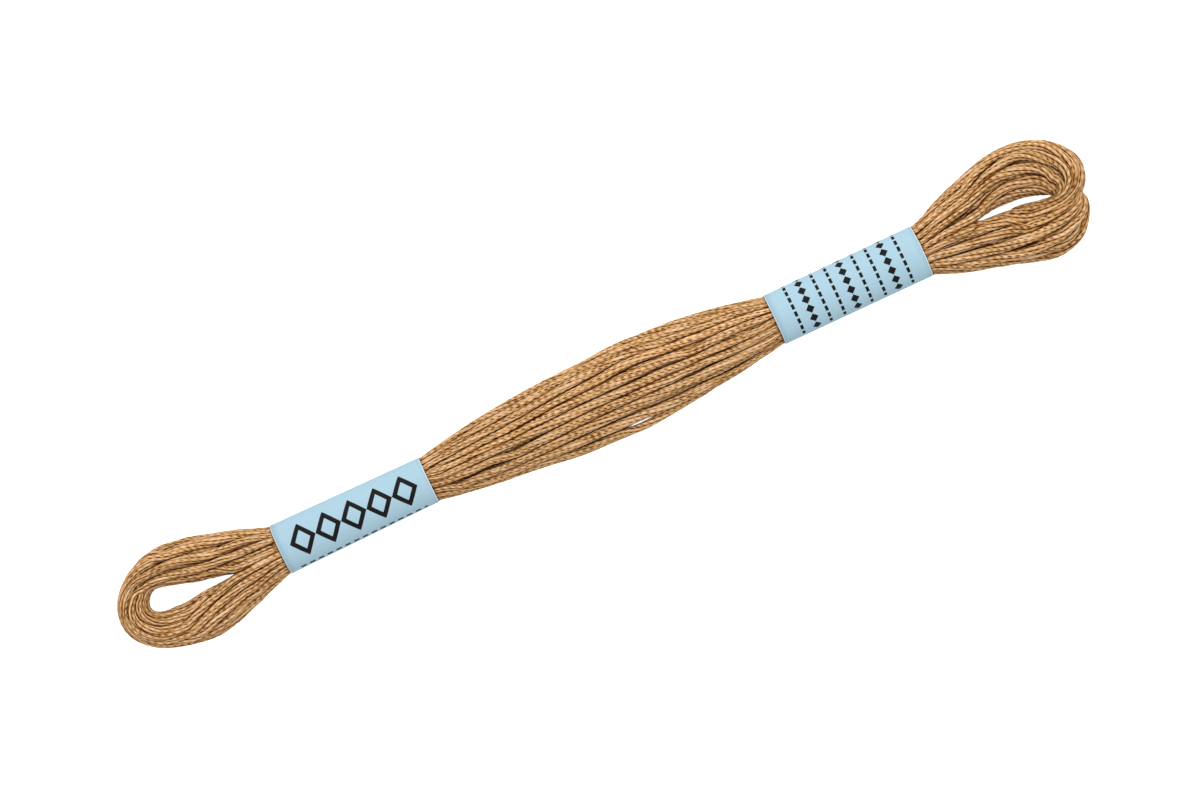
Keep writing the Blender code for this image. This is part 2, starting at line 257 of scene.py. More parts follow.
@dataclass
class Slices:
    """Cross-sections through the floss, each an oval split at its crown into a near and far side.

    In the bundle the crown is the line where the legs meet, the upper leg's strands come first
    and lie on the far side, and the lower leg's lie on the near side. Round an eye there is one
    leg, and its near side faces the eye.
    """

    origin: np.ndarray  # where the crown crosses each slice, seen from above
    across: np.ndarray  # the direction from the near side to the far side
    near: np.ndarray  # how far the near side reaches from the crown
    far: np.ndarray
    top: np.ndarray
    floor: np.ndarray
    mingle: np.ndarray  # how far the legs' strands may lie past the line where the legs meet
    two_legs: bool
    roll: np.ndarray
    partings: np.ndarray | None = None
    radius: np.ndarray | None = None  # of a strand in each slice

    TURNS = 25
    FLAT_SINK = 0.15  # share of the height that the surface below cuts off an oval
    FILL = 0.89  # share of a section that the strands take up
    DRAWN = 1.08  # how wide a strand is drawn, in strand radii from its middle
    SPREAD = 0.34  # how much of an overlap is undone at a time
    PARTING_STEPS = 40  # points read on a parting for each of its knots
    PARTING_TIP = 3.0  # how far from its tip a parting is fully open
    TIP_SHARE = 0.15  # how open it is at the tip itself, before easing
    PARTING_REACH = 2.0  # strand radii from a parting within which it moves a strand
    PARTING_TOUCH = 0.5  # strand radii that a strand reaches up towards a parting
    RIM_HEIGHT = 0.5  # the height of an oval's rim, as a share of its top
    LEAST_SIDE = 0.1
    LEAST_RISE = 0.05
    LEAST_ROOM = 0.02  # what a strand's middle keeps to move in
    SLIT_DEPTH = 5.0  # a parting as deep as this is open right through
    SECTORS = 6  # directions that are looked at for neighbours
    BURIED_REACH = 2.9  # strand radii within which neighbours on every side hide a strand

    def __post_init__(self) -> None:
        """Works out how thick the strands are, from the room that each section gives them."""
        legs = 2 if self.two_legs else 1
        area = math.pi / 4 * (self.near + self.far) * (self.top - self.floor)
        thick = np.sqrt(self.FILL * area / (legs * self.TURNS * math.pi))
        padded = np.concatenate([thick[:1], thick, thick[-1:]])
        self.radius = (padded[:-2] + 2 * padded[1:-1] + padded[2:]) / 4
        self.partings = self.find_partings()

    def find_partings(self) -> np.ndarray:
        """Where each parting crosses each slice.

        Returns:
            For each slice and parting, the place across, the depth, the gap and how far the
            parting has opened there, which is 0 where they don't cross.
        """
        found = np.zeros((len(self.near), len(PARTINGS), 4))
        for column, parting in enumerate(PARTINGS):
            knots = np.array(parting.knots, float)
            at = np.linspace(0, len(knots) - 1, self.PARTING_STEPS * len(knots))
            route = read_table(knots, at)
            steps = np.linalg.norm(np.diff(route, axis=0), axis=1)
            along = np.concatenate([[0], np.cumsum(steps)])
            for row, (origin, across) in enumerate(zip(self.origin, self.across)):
                offset = route - origin
                ahead = offset[:, 0] * -across[1] + offset[:, 1] * across[0]
                place = offset @ across
                for i in np.flatnonzero(ahead[:-1] * ahead[1:] < 0):
                    if -self.near[row] < place[i] < self.far[row]:
                        tip = min(along[i], along[-1] - along[i]) / self.PARTING_TIP
                        share = float(ease(np.array(tip + self.TIP_SHARE)))
                        found[row, column] = place[i], parting.depth * share, parting.gap, share
        return found

    def at(self, i: int) -> "Slices":
        """One of the slices, by itself.

        Args:
            i: The slice's index.

        Returns:
            The slice, with the partings and the radius that it has here.
        """
        one = object.__new__(Slices)
        for name in ("origin", "across", "near", "far", "top", "floor", "mingle", "roll"):
            setattr(one, name, getattr(self, name)[i : i + 1])
        one.two_legs = self.two_legs
        one.partings, one.radius = self.partings[i : i + 1], self.radius[i : i + 1]
        return one

    def shares(self, q: np.ndarray, z: np.ndarray) -> tuple[np.ndarray, np.ndarray]:
        """Places across and heights as shares of the leg's width and of the section's height.

        Args:
            q: Places across each slice.
            z: Heights.

        Returns:
            Shares from the eye or seam to the outline, and shares of the height.
        """
        near, far = self.near[:, None], self.far[:, None]
        if self.two_legs:
            a = np.concatenate([q[:, : self.TURNS] / far, -q[:, self.TURNS :] / near], axis=1)
        else:
            a = (q + near) / (near + far)
        return a, (z - self.floor[:, None]) / (self.top - self.floor)[:, None]

    def places(self, a: np.ndarray, h: np.ndarray) -> tuple[np.ndarray, np.ndarray]:
        """The other way round from shares.

        Args:
            a: Shares from the eye or seam to the outline.
            h: Shares of the height.

        Returns:
            Places across each slice, and heights.
        """
        near, far = self.near[:, None], self.far[:, None]
        if self.two_legs:
            q = np.concatenate([a[:, : self.TURNS] * far, -a[:, self.TURNS :] * near], axis=1)
        else:
            q = a * (near + far) - near
        return q, self.floor[:, None] + h * (self.top - self.floor)[:, None]

    def push_apart(self, q: np.ndarray, z: np.ndarray) -> None:
        """Moves strands that overlap away from each other, in place.

        Args:
            q: Places across each slice.
            z: Heights.
        """
        dq = q[:, :, None] - q[:, None, :]
        dz = z[:, :, None] - z[:, None, :]
        distance = np.sqrt(dq * dq + dz * dz) + TINY
        distance += np.eye(q.shape[1]) * FAR_OFF
        push = np.maximum(2 * self.radius[:, None, None] / distance - 1, 0) * self.SPREAD
        q += (dq * push).sum(axis=2)
        z += (dz * push).sum(axis=2)

    def beside(
        self, column: int, q: np.ndarray, z: np.ndarray
    ) -> tuple[np.ndarray, np.ndarray, np.ndarray]:
        """How the strands lie to one of the partings.

        Args:
            column: The parting's index.
            q: Places across each slice.
            z: Heights.

        Returns:
            How far each strand is from the parting, whether it is near enough for the parting
            to move it, and how far from the parting it has to lie.
        """
        radius = self.radius[:, None]
        place, depth, gap, share = (self.partings[:, column, n][:, None] for n in range(4))
        side = np.where(place > 0, self.far[:, None], self.near[:, None])
        bulge = 1 - (place / np.maximum(side, self.LEAST_SIDE)) ** 2
        reach = np.sqrt(np.clip(bulge, self.LEAST_RISE, 1))
        surface = self.top[:, None] * (self.RIM_HEIGHT + (1 - self.RIM_HEIGHT) * reach)
        off = q - place
        close = (share > 0) & (z + radius * self.PARTING_TOUCH > surface - depth)
        close &= np.abs(off) < self.PARTING_REACH * radius
        return off, close, (self.DRAWN * radius + gap / 2) * share

    def crossed(self) -> np.ndarray:
        """The indices of the partings that cross any of the slices."""
        return np.flatnonzero(self.partings[:, :, 3].any(axis=0))

    def leaning(self, q: np.ndarray, z: np.ndarray) -> np.ndarray:
        """How far each strand lies to the far side of each parting, added up over the slices.

        Args:
            q: Places across each slice.
            z: Heights.

        Returns:
            One row for each parting, with a value for each strand.
        """
        found = np.zeros((len(PARTINGS), q.shape[1]))
        for column in self.crossed():
            off, close, _ = self.beside(column, q, z)
            found[column] = (off * close).sum(axis=0)
        return found

    def part(self, q: np.ndarray, z: np.ndarray, lean: np.ndarray) -> None:
        """Moves strands near the surface off the partings, in place.

        Args:
            q: Places across each slice.
            z: Heights.
            lean: The side of each parting that each strand keeps to, so that none crosses it.
        """
        for column in self.crossed():
            off, close, clear = self.beside(column, q, z)
            way = np.where(lean[column] < 0, -1.0, 1.0)
            short = clear - off * way
            q += np.where(close & (short > 0), way * short / 2, 0)

    def open_slits(self, q: np.ndarray, z: np.ndarray) -> None:
        """Clears the partings that are open right through, in place.

        Args:
            q: Places across each slice.
            z: Heights.
        """
        for column in self.crossed():
            if PARTINGS[column].depth > self.SLIT_DEPTH:
                off, close, clear = self.beside(column, q, z)
                way = np.where((off * close).sum(axis=0) < 0, -1.0, 1.0)
                short = clear - off * way
                q += np.where(close & (short > 0), way * short, 0)

    def buried(self, q: np.ndarray, z: np.ndarray) -> np.ndarray:
        """Finds the strands that others hide.

        Args:
            q: Places across each slice.
            z: Heights.

        Returns:
            1 for each strand with other strands close on every side, else 0.
        """
        dq = q[:, None, :] - q[:, :, None]
        dz = z[:, None, :] - z[:, :, None]
        distance = np.hypot(dq, dz)
        near = (distance > TINY) & (distance < self.BURIED_REACH * self.radius[:, None, None])
        sector = ((np.arctan2(dz, dq) / (2 * math.pi) % 1) * self.SECTORS).astype(int)
        sides = [((sector == n) & near).any(axis=2) for n in range(self.SECTORS)]
        return np.all(sides, axis=0).astype(float)

    def contain(self, q: np.ndarray, z: np.ndarray) -> None:
        """Keeps strands inside their section, and each leg on its own side, in place.

        Args:
            q: Places across each slice.
            z: Heights.
        """
        radius, floor = self.radius[:, None], self.floor[:, None]
        near, far, top = self.near[:, None], self.far[:, None], self.top[:, None]
        if self.two_legs:
            wall = radius - self.mingle[:, None]
            upper, lower = q[:, : self.TURNS], q[:, self.TURNS :]
            np.maximum(upper, wall, out=upper)
            np.minimum(lower, -wall, out=lower)
        else:
            np.maximum(q, radius - near, out=q)
        rise = (top - floor) * (1 + self.FLAT_SINK) / 2
        inside = (q < 0) & (not self.two_legs)
        middle = np.where(inside, (top + floor) / 2, top - rise)
        tall = np.where(inside, (top - floor) / 2, rise) - radius
        wide = np.maximum(np.where(q > 0, far, near) - radius, self.LEAST_ROOM)
        out = np.sqrt((q / wide) ** 2 + ((z - middle) / tall) ** 2)
        over = np.maximum(out, 1)
        q /= over
        z[:] = middle + (z - middle) / over
        np.maximum(z, floor + radius, out=z)

    def settle(
        self, q: np.ndarray, z: np.ndarray, rounds: int, lean: np.ndarray | None = None
    ) -> None:
        """Lets the strands find room, in place.

        Args:
            q: Places across each slice.
            z: Heights.
            rounds: How many small moves they make.
            lean: The side of each parting that each strand keeps to, where that is settled.
        """
        for _ in range(rounds):
            self.push_apart(q, z)
            self.part(q, z, self.leaning(q, z) if lean is None else lean)
            self.contain(q, z)


@dataclass
class HankForm:
    """The hank's outline and sections, read from the tables and the frame's paper bands."""

    bands: tuple[str, ...] = ("paper_band_left", "paper_band_right")
    station: float = 2.0  # between slices across the bundle
    loop_stations: int = 30
    paper: float = 0.14  # the wall of a band, with a little room inside it
    squeeze: float = 0.1  # how much narrower than that a band holds each leg
    tuck: float = 0.1  # how far past its edge a band still holds the floss in
    mingle_start: float = 3.0  # how far from an eye the legs' strands start to mingle
    mingle_length: float = 16.0  # over which that grows
    mingle_most: float = 0.9
    mingle_held: float = 0.5  # the share of it that a band takes away

    def band_spans(self) -> list[tuple[float, float]]:
        """Where each band starts and ends along the skein."""
        return [tuple(corner[0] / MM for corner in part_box(name)) for name in self.bands]

    def bundle(self) -> Slices:
        """Slices across both legs, from the left eye to the right one.

        Returns:
            The slices, drawn in under the paper bands.
        """
        table = table_of(BUNDLE)
        first, last = table[0, 0], table[-1, 0]
        marks = [first, *(edge for span in self.band_spans() for edge in span), last]
        steps = [max(1, round((end - start) / self.station)) for start, end in zip(marks, marks[1:])]
        at = np.interp(np.arange(sum(steps) + 1), np.cumsum([0, *steps]), np.arange(len(marks)))
        x = np.interp(at, np.arange(len(marks)), marks)
        rows = read_table(table, np.interp(x, table[:, 0], np.arange(len(table))))
        low, seam, high, top = rows[:, 1:].T
        held = np.zeros(len(x))
        for start, end in self.band_spans():
            held[(x > start - self.tuck) & (x < end + self.tuck)] = 1
        inset = held * self.paper
        edge = np.minimum(x - first, last - x)
        mingle = self.mingle_most * ease((edge - self.mingle_start) / self.mingle_length)
        squeeze = held * self.squeeze
        return Slices(
            origin=np.column_stack([x, seam]),
            across=np.tile([0.0, 1.0], (len(x), 1)),
            near=seam - low - inset - squeeze,
            far=high - seam - inset - squeeze,
            top=top - inset,
            floor=inset,
            mingle=mingle * (1 - self.mingle_held * held),
            two_legs=True,
            roll=np.zeros(len(x)),
        )

    def loop(self, rows: tuple[LoopRow, ...]) -> Slices:
        """Slices across one leg on its way round an eye.

        Args:
            rows: The loop's table, from the upper leg to the lower.

        Returns:
            The slices between the two ends of the eye, which the bundle already has.
        """
        table = table_of(rows)
        at = np.linspace(0, len(table) - 1, self.loop_stations + 1)[1:-1]
        eye_x, eye_y, out_x, out_y, crown, top, roll = read_table(table, at).T
        eye, out = np.column_stack([eye_x, eye_y]), np.column_stack([out_x, out_y])
        width = np.linalg.norm(out - eye, axis=1)
        across = (out - eye) / width[:, None]
        return Slices(
            origin=eye + across * (crown * width)[:, None],
            across=across,
            near=crown * width,
            far=(1 - crown) * width,
            top=top,
            floor=np.zeros(len(top)),
            mingle=np.zeros(len(top)),
            two_legs=False,
            roll=roll,
        )


def nearest_pairs(arriving: np.ndarray, waiting: np.ndarray) -> np.ndarray:
    """Pairs each strand that arrives with a strand that goes on, with little movement in all.

    Args:
        arriving: Where the strands end, one row each.
        waiting: Where the next strands start, one row each.

    Returns:
        For each arriving strand, the index of the one that it becomes.
    """
    cost = ((arriving[:, None] - waiting[None]) ** 2).sum(axis=2)
    taken = np.arange(len(cost))
    better = True
    while better:
        better = False
        for i in range(len(cost)):
            for j in range(i):
                kept = cost[i, taken[i]] + cost[j, taken[j]]
                swapped = cost[i, taken[j]] + cost[j, taken[i]]
                if swapped < kept - LEAST_GAIN:
                    taken[i], taken[j] = taken[j], taken[i]
                    better = True
    return taken


@dataclass
class FlossLayout:
    """Finds where each turn lies, by letting all the strands settle against each other."""

    form: HankForm = field(default_factory=HankForm)
    seed: int = 30
    middle: float = 4.0  # where along the skein the laying out starts
    start_across: tuple[float, float] = (0.05, 0.95)  # the shares among which strands start
    start_up: tuple[float, float] = (0.1, 0.9)
    start_rounds: int = 400
    step_rounds: int = 40
    rounds: int = 160
    smoothing: float = 0.35
    finish_rounds: int = 6
    finish_smoothing: float = 0.15
    round_moves: int = 2
    step_over_inset: float = 3.0  # how far inside the left band strands start to change places

    def __post_init__(self) -> None:
        """Makes the slices and the random source."""
        self.bundle = self.form.bundle()
        self.right = self.form.loop(RIGHT_LOOP)
        self.left = self.form.loop(LEFT_LOOP)
        self.chance = np.random.default_rng(self.seed)
        self.turns = Slices.TURNS

    def carry(self, slices: Slices, order: range, start: tuple) -> np.ndarray:
        """Carries the strands from slice to slice, letting them settle in each.

        Args:
            slices: The slices that they pass.
            order: The slices' indices, in the order of passing.
            start: The shares across and up that they start from.

        Returns:
            The shares across and up at each slice, as an array of slice, strand and share.
        """
        found = np.zeros((len(order), len(start[0]), 2))
        a, h = (share.copy() for share in start)
        before = slices.roll[order[0]] if len(order) else 0.0
        for n, i in enumerate(order):
            angle = math.radians(slices.roll[i] - before)
            before = slices.roll[i]
            turned = ((math.cos(angle), math.sin(angle)), (-math.sin(angle), math.cos(angle)))
            a, h = ((np.column_stack([a, h]) - 0.5) @ np.array(turned) + 0.5).T
            one = slices.at(i)
            q, z = one.places(a[None], h[None])
            one.settle(q, z, self.step_rounds)
            a, h = (share[0] for share in one.shares(q, z))
            found[n] = np.column_stack([a, h])
        return found

    def first_slice(self, i: int) -> tuple[np.ndarray, np.ndarray]:
        """The strands' shares in the slice that everything starts from.

        Args:
            i: The slice's index in the bundle.

        Returns:
            Shares across and up, for the upper leg's strands and then the lower leg's.
        """
        one = self.bundle.at(i)
        a = self.chance.uniform(*self.start_across, 2 * self.turns)
        h = self.chance.uniform(*self.start_up, 2 * self.turns)
        q, z = one.places(a[None], h[None])
        one.settle(q, z, self.start_rounds)
        return tuple(share[0] for share in one.shares(q, z))

    def lay_out(self) -> None:
        """Carries the strands right round, pairs up the legs and settles the whole hank."""
        turns, count = self.turns, len(self.bundle.near)
        x = self.bundle.origin[:, 0]
        start = int(np.abs(x - self.middle).argmin())
        shares = np.zeros((count, 2 * turns, 2))
        first = self.first_slice(start)
        shares[start] = np.column_stack(first)
        shares[start + 1 :] = self.carry(self.bundle, range(start + 1, count), first)
        shares[:start] = self.carry(self.bundle, range(start - 1, -1, -1), first)[::-1]
        upper, lower = shares[:, :turns], shares[:, turns:]
        right, lower = self.go_round(upper[-1], lower)
        left, self.goes_to = self.come_back(lower[0], upper[0])
        self.path = np.concatenate([upper, right, lower[::-1], left])
        self.parts = np.cumsum([count, len(right), count])
        self.settle_all()

    def go_round(self, start: np.ndarray, leg: np.ndarray) -> tuple[np.ndarray, np.ndarray]:
        """Takes the upper leg's strands round the right eye, and puts the lower leg's in order.

        Args:
            start: The upper leg's shares where the eye opens.
            leg: The lower leg's shares, one row for each slice of the bundle.

        Returns:
            The shares round the eye, and the lower leg's with its strands in the same order.
        """
        round_eye = self.carry(self.right, range(len(self.right.near)), tuple(start.T))
        leg = leg[:, nearest_pairs(round_eye[-1], leg[-1])]
        share = ease(np.linspace(0, 1, len(round_eye)))[:, None, None]
        return round_eye + share * (leg[-1] - round_eye[-1]), leg

    def come_back(self, start: np.ndarray, upper: np.ndarray) -> tuple[np.ndarray, np.ndarray]:
        """Takes the lower leg's strands round the left eye, back to the upper leg.

        Args:
            start: The lower leg's shares where the eye opens.
            upper: The upper leg's shares there.

        Returns:
            The shares round the eye, and for each strand the upper strand that it becomes.
        """
        order = range(len(self.left.near) - 1, -1, -1)
        round_eye = self.carry(self.left, order, tuple(start.T))
        goes_to = nearest_pairs(round_eye[-1], upper)
        share = ease(np.linspace(0, 1, len(round_eye)))[:, None, None]
        return round_eye + share * (upper[goes_to] - round_eye[-1]), goes_to

    def settle_all(self) -> None:
        """Smooths the strands along their length and settles them, over and over."""
        comes_from = np.argsort(self.goes_to)
        for n in range(self.rounds + self.finish_rounds):
            before = np.roll(self.path, 1, axis=0)
            before[0] = self.path[-1][comes_from]
            after = np.roll(self.path, -1, axis=0)
            after[-1] = self.path[0][self.goes_to]
            pull = self.smoothing if n < self.rounds else self.finish_smoothing
            self.path += pull * ((before + after) / 2 - self.path)
            self.settle_round()

    def by_slices(self) -> list[tuple[Slices, np.ndarray]]:
        """The slices and the strands in them.

        Returns:
            The slices of the bundle, the right eye and the left eye, each with its shares.
        """
        opened, closed, back = self.parts
        both = np.concatenate([self.path[:opened], self.path[closed:back][::-1]], axis=1)
        return [
            (self.bundle, both),
            (self.right, self.path[opened:closed]),
            (self.left, self.path[back:][::-1]),
        ]

    def settle_round(self) -> None:
        """One round of settling in every slice."""
        places = [(s, *s.places(share[:, :, 0], share[:, :, 1])) for s, share in self.by_slices()]
        leans = self.shared_leans([slices.leaning(q, z) for slices, q, z in places])
        settled = []
        for (slices, q, z), lean in zip(places, leans):
            slices.settle(q, z, self.round_moves, lean)
            settled.append(np.stack(slices.shares(q, z), axis=2))
        both, right, left = settled
        opened, closed, back = self.parts
        self.path[:opened] = both[:, : self.turns]
        self.path[closed:back] = both[::-1, self.turns :]
        self.path[opened:closed], self.path[back:] = right, left[::-1]

    def shared_leans(self, leans: list[np.ndarray]) -> tuple[np.ndarray, ...]:
        """Adds up a strand's lean over the bundle and the eyes, so that it keeps to one side.

        Args:
            leans: The leans in the bundle, round the right eye and round the left one. Round an
                eye they count outwards, which is downwards for the lower leg.

        Returns:
            The leans in the same order.
        """
        bundle, right, left = leans
        upper, lower = bundle[:, : self.turns], bundle[:, self.turns :]
        comes_from = np.argsort(self.goes_to)
        both = [upper + right + left[:, comes_from], lower - right - left]
        return (
            np.concatenate(both, axis=1),
            right + upper - lower,
            left + upper[:, self.goes_to] - lower,
        )

    def world(self) -> tuple[np.ndarray, np.ndarray, np.ndarray]:
        """The strands in space, station by station all round the hank.

        Returns:
            For each strand a point in millimetres and whether it is buried among the others,
            the strands' radius, and the middles of all the strands that lie together there.
        """
        placed = []
        for slices, shares in self.by_slices():
            q, z = slices.places(shares[:, :, 0], shares[:, :, 1])
            slices.open_slits(q, z)
            plan = slices.origin[:, None] + slices.across[:, None] * q[:, :, None]
            placed.append(np.concatenate([plan, np.stack([z, slices.buried(q, z)], 2)], axis=2))
        both, right, left = placed
        left = left[::-1]
        points = (both[:, : self.turns], right, both[::-1, self.turns :], left)
        radii = (
            self.bundle.radius,
            self.right.radius,
            self.bundle.radius[::-1],
            self.left.radius[::-1],
        )
        to_upper = left[:, np.argsort(self.goes_to)]
        crowd = (
            both,
            np.concatenate([right, right], axis=1),
            both[::-1],
            np.concatenate([to_upper, left], axis=1),
        )
        return np.concatenate(points), np.concatenate(radii), np.concatenate(crowd)[:, :, :3]

    def thread(self) -> tuple[np.ndarray, np.ndarray, np.ndarray, np.ndarray]:
        """All the turns as one thread, which starts and ends inside the left band.

        Returns:
            The thread's points and whether each is buried, turn by turn, its radius there, the
            station of each point, and the strands that lie together at each station.
        """
        points, radii, crowd = self.world()
        start, end = self.form.band_spans()[0]
        x = self.bundle.origin[:, 0]
        cut = int(np.abs(x - (start + end) / 2).argmin())
        step_over = self.join_cycles(points[cut, :, :3])
        inset = self.step_over_inset
        over = ease((x - start - inset) / (end - start - 2 * inset))[:, None]
        column, route = 0, []
        came_from = int(np.argsort(step_over)[0])
        upper, beyond = points[: self.parts[0]], points[self.parts[0] :]
        for _ in range(self.turns):
            into = upper[:, came_from] * (1 - over) + upper[:, column] * over
            route += [into[cut:], beyond[:, column]]
            came_from = int(self.goes_to[column])
            column = int(step_over[came_from])
            out = upper[:, came_from] * (1 - over) + upper[:, column] * over
            route.append(out[:cut])
        stations = np.tile(np.roll(np.arange(len(points)), -cut), self.turns)
        return np.concatenate(route), radii[stations], stations, crowd

    def join_cycles(self, places: np.ndarray) -> np.ndarray:
        """Lets neighbouring strands change places inside the left band, so all turns are one.

        Args:
            places: Where the upper leg's strands lie in the middle of the band.

        Returns:
            For each strand that enters the band, the place that it leaves by.
        """
        step_over = np.arange(self.turns)
        while True:
            group, seen = np.full(self.turns, -1), 0
            for first in range(self.turns):
                at = first
                while group[at] < 0:
                    group[at] = seen
                    at = step_over[self.goes_to[at]]
                seen += 1
            if len(set(group)) == 1:
                return step_over
            gaps = np.linalg.norm(places[:, None] - places[None], axis=2)
            gaps[group[step_over][:, None] == group[step_over][None]] = np.inf
            i, j = np.unravel_index(gaps.argmin(), gaps.shape)
            step_over[[i, j]] = step_over[[j, i]]


@dataclass
class Route:
    """The middle line of a length of floss, ring by ring, in millimetres."""

    points: np.ndarray
    radii: np.ndarray
    along: np.ndarray
    crowd: np.ndarray  # the middles of the strands that lie beside it, and its own
    tone: np.ndarray | None = None
    tilts: np.ndarray | None = None

    def cut(self, start: int, end: int) -> "Route":
        """The rings from one index to another, both included."""
        kept = slice(start, end + 1)
        return Route(*(getattr(self, name)[kept] for name in self.__dataclass_fields__))


@dataclass
class Hank:
    """The floss, laid as twisted strands and cut into a few long pieces inside the left band."""

    bands: tuple["PaperBand", ...]  # the paper that holds it in
    layout: FlossLayout = field(default_factory=FlossLayout)
    pieces: int = 5
    step: float = 0.26  # between rings along a strand
    low_step: float = 0.42  # the same near the table
    low_height: float = 2.0
    hidden_step: float = 2.0  # the same where a band or other strands hide it
    hidden_inset: float = 3.0  # how far inside a band's edge the hidden part starts
    buried_mark: float = 0.9  # a strand is buried where its mark is above this
    leap: float = 1.5  # stations past which a strand beside this one is another one
    lay_length: float = 26.0  # one full turn of the six threads round each other
    lay_drift: tuple[float, float] = (0.35, 9.0)  # how far the turning wanders, over what length
    thick_drift: tuple[float, float] = (0.03, 12.0)  # the same for the thickness, as a share
    tone_length: float = 60.0
    ply_length: float = 1.12  # between the notches of a thread, which is itself two plies
    threads: int = 6
    reaches: tuple[float, ...] = (0.92, 1.01, 1.05, 1.01)  # groove, shoulder, crest, shoulder
    painted_shades: tuple[float, ...] = (0.42, 0.20, 0.12, 0.20)  # how much painted shade each of these gets, least on the crest
    opening: tuple[float, ...] = (1.0, 0.3, 0.0, 0.3)  # how far each gives way where threads part
    open_reach: float = 0.11
    # painted shade in the grooves where the threads part at a bend
    open_shade: float = 0.22
    notch_reach: float = 0.14  # how deep a notch is, as a share of the strand's radius
    notch_shades: tuple[float, float] = (0.70, 0.88)  # painted shade in a notch between plies, of a groove and of a crest
    notch_sharpness: tuple[float, float] = (1.1, 1.6)
    notch_drift: tuple[float, float] = (0.35, 3.5)  # how far a row of notches slips, in plies
    notch_strength: tuple[float, float, float] = (0.74, 0.55, 2.0)  # mean, spread and length
    notch_limits: tuple[float, float] = (0.1, 1.35)
    notch_between: float = 0.07  # how much of a notch reaches the shoulders beside it
    notch_bent: float = 0.2  # the share of the notches that a bend smooths out
    streak_length: float = 2.4
    streak_reach: float = 0.03
    streak_shade: float = 0.17
    flatten: float = 0.12  # how far a strand is pressed flat
    flatten_length: float = 7.0
    widen: float = 0.7  # how much of that comes back as width
    beside: int = 12  # how many of the nearest strands may shade a strand
    own: float = 0.5  # strand radii within which a middle is the strand's own
    crevice_edge: float = 1.55  # strand radii from a neighbour's middle where its shade starts
    crevice_width: float = 0.40
    crevice_shade: tuple[float, float, float] = (0.72, 0.6, 5.0)  # painted shade in the crevices between strands: mean, spread and length
    crevice_least: float = 0.15
    crevice_bent: float = 0.45  # the share of that shade that a bend takes away
    under_reach: float = 0.40  # how far outside a band its shade reaches
    # painted shadow where the floss goes in under a paper band
    under_shade: float = 0.55
    bend_scale: float = 6.0  # a bend of this radius in millimetres parts the threads fully
    bend_window: int = 7  # millimetres over which a bend is evened out
    fibre_turn: float = -0.8  # how the fibres wind round the strand, in radians a millimetre
    wander_spread: float = 0.6  # of the slow random values, as a standard deviation
    seed: int = 21

    def profile(self) -> bpy.types.Object:
        """The strand's cross-section: six threads round the middle.

        Returns:
            A closed curve, for a radius of 1.
        """
        curve = bpy.data.curves.new("thread_section", "CURVE")
        spline = curve.splines.new("POLY")
        corners = len(self.reaches) * self.threads
        spline.points.add(corners - 1)
        for n, point in enumerate(spline.points):
            turn = 2 * math.pi * n / corners
            reach = self.reaches[n % len(self.reaches)]
            point.co = (reach * math.cos(turn), reach * math.sin(turn), 0, 1)
        spline.use_cyclic_u = True
        return bpy.data.objects.new("thread_section", curve)

    def fine_route(self) -> Route:
        """The whole thread in short steps, which are longer where it is hidden.

        Returns:
            The route, as yet without its tone and its tilts.
        """
        points, radii, stations, crowd = self.layout.thread()
        hidden = points[:, 3] > self.buried_mark
        points = points[:, :3]
        run = np.concatenate([[0], np.cumsum(np.linalg.norm(np.diff(points, axis=0), axis=1))])
        for start, end in self.layout.form.band_spans():
            inside = points[:, 0] > start + self.hidden_inset
            hidden |= inside & (points[:, 0] < end - self.hidden_inset)
        steps = np.where(points[1:, 2] < self.low_height, self.low_step, self.step)
        steps[hidden[1:] & hidden[:-1]] = self.hidden_step
        rings = np.concatenate([[0], np.cumsum(np.diff(run) / steps)])
        index = np.arange(len(points))
        at = np.interp(np.arange(0, rings[-1]), rings, index)
        before = np.minimum(at.astype(int), len(points) - 2)
        here, ahead = crowd[stations[before]], crowd[stations[before + 1]]
        longest = self.leap * self.layout.form.station
        leap = np.linalg.norm(ahead - here, axis=2)[:, :, None] > longest
        crowd = here + (at - before)[:, None, None] * np.where(leap, 0, ahead - here)
        along = np.interp(at, index, run)
        return Route(read_table(points, at), np.interp(at, index, radii), along, crowd)

    def cuts(self, route: Route) -> np.ndarray:
        """The rings where the thread is cut: inside the left band, and nearly evenly spread.

        Args:
            route: The whole thread, which starts and ends inside that band.

        Returns:
            The rings' indices, from the thread's start to its end.
        """
        start, end = self.layout.form.band_spans()[0]
        x = route.points[:, 0]
        inside = np.flatnonzero((x > start + self.hidden_inset) & (x < end - self.hidden_inset))
        even = np.linspace(0, len(x) - 1, self.pieces + 1)
        return inside[np.abs(inside[:, None] - even).argmin(axis=0)]

    def strand_mesh(self, name: str, route: Route) -> bpy.types.Mesh:
        """A twisted strand along a route, as a mesh.

        Args:
            name: The mesh's name.
            route: The strand's middle line, its radius and its twist.

        Returns:
            The mesh, ring after ring from the start of the route.
        """
        curve = bpy.data.curves.new(name, "CURVE")
        curve.dimensions = "3D"
        curve.twist_mode = "MINIMUM"
        curve.bevel_mode = "OBJECT"
        curve.bevel_object = self.section
        spline = curve.splines.new("POLY")
        rings = len(route.points)
        spline.points.add(rings - 1)
        middles = np.column_stack([route.points * MM, np.ones(rings)])
        spline.points.foreach_set("co", middles.ravel())
        spline.points.foreach_set("radius", route.radii * MM)
        spline.points.foreach_set("tilt", route.tilts)
        return mesh_of(curve)

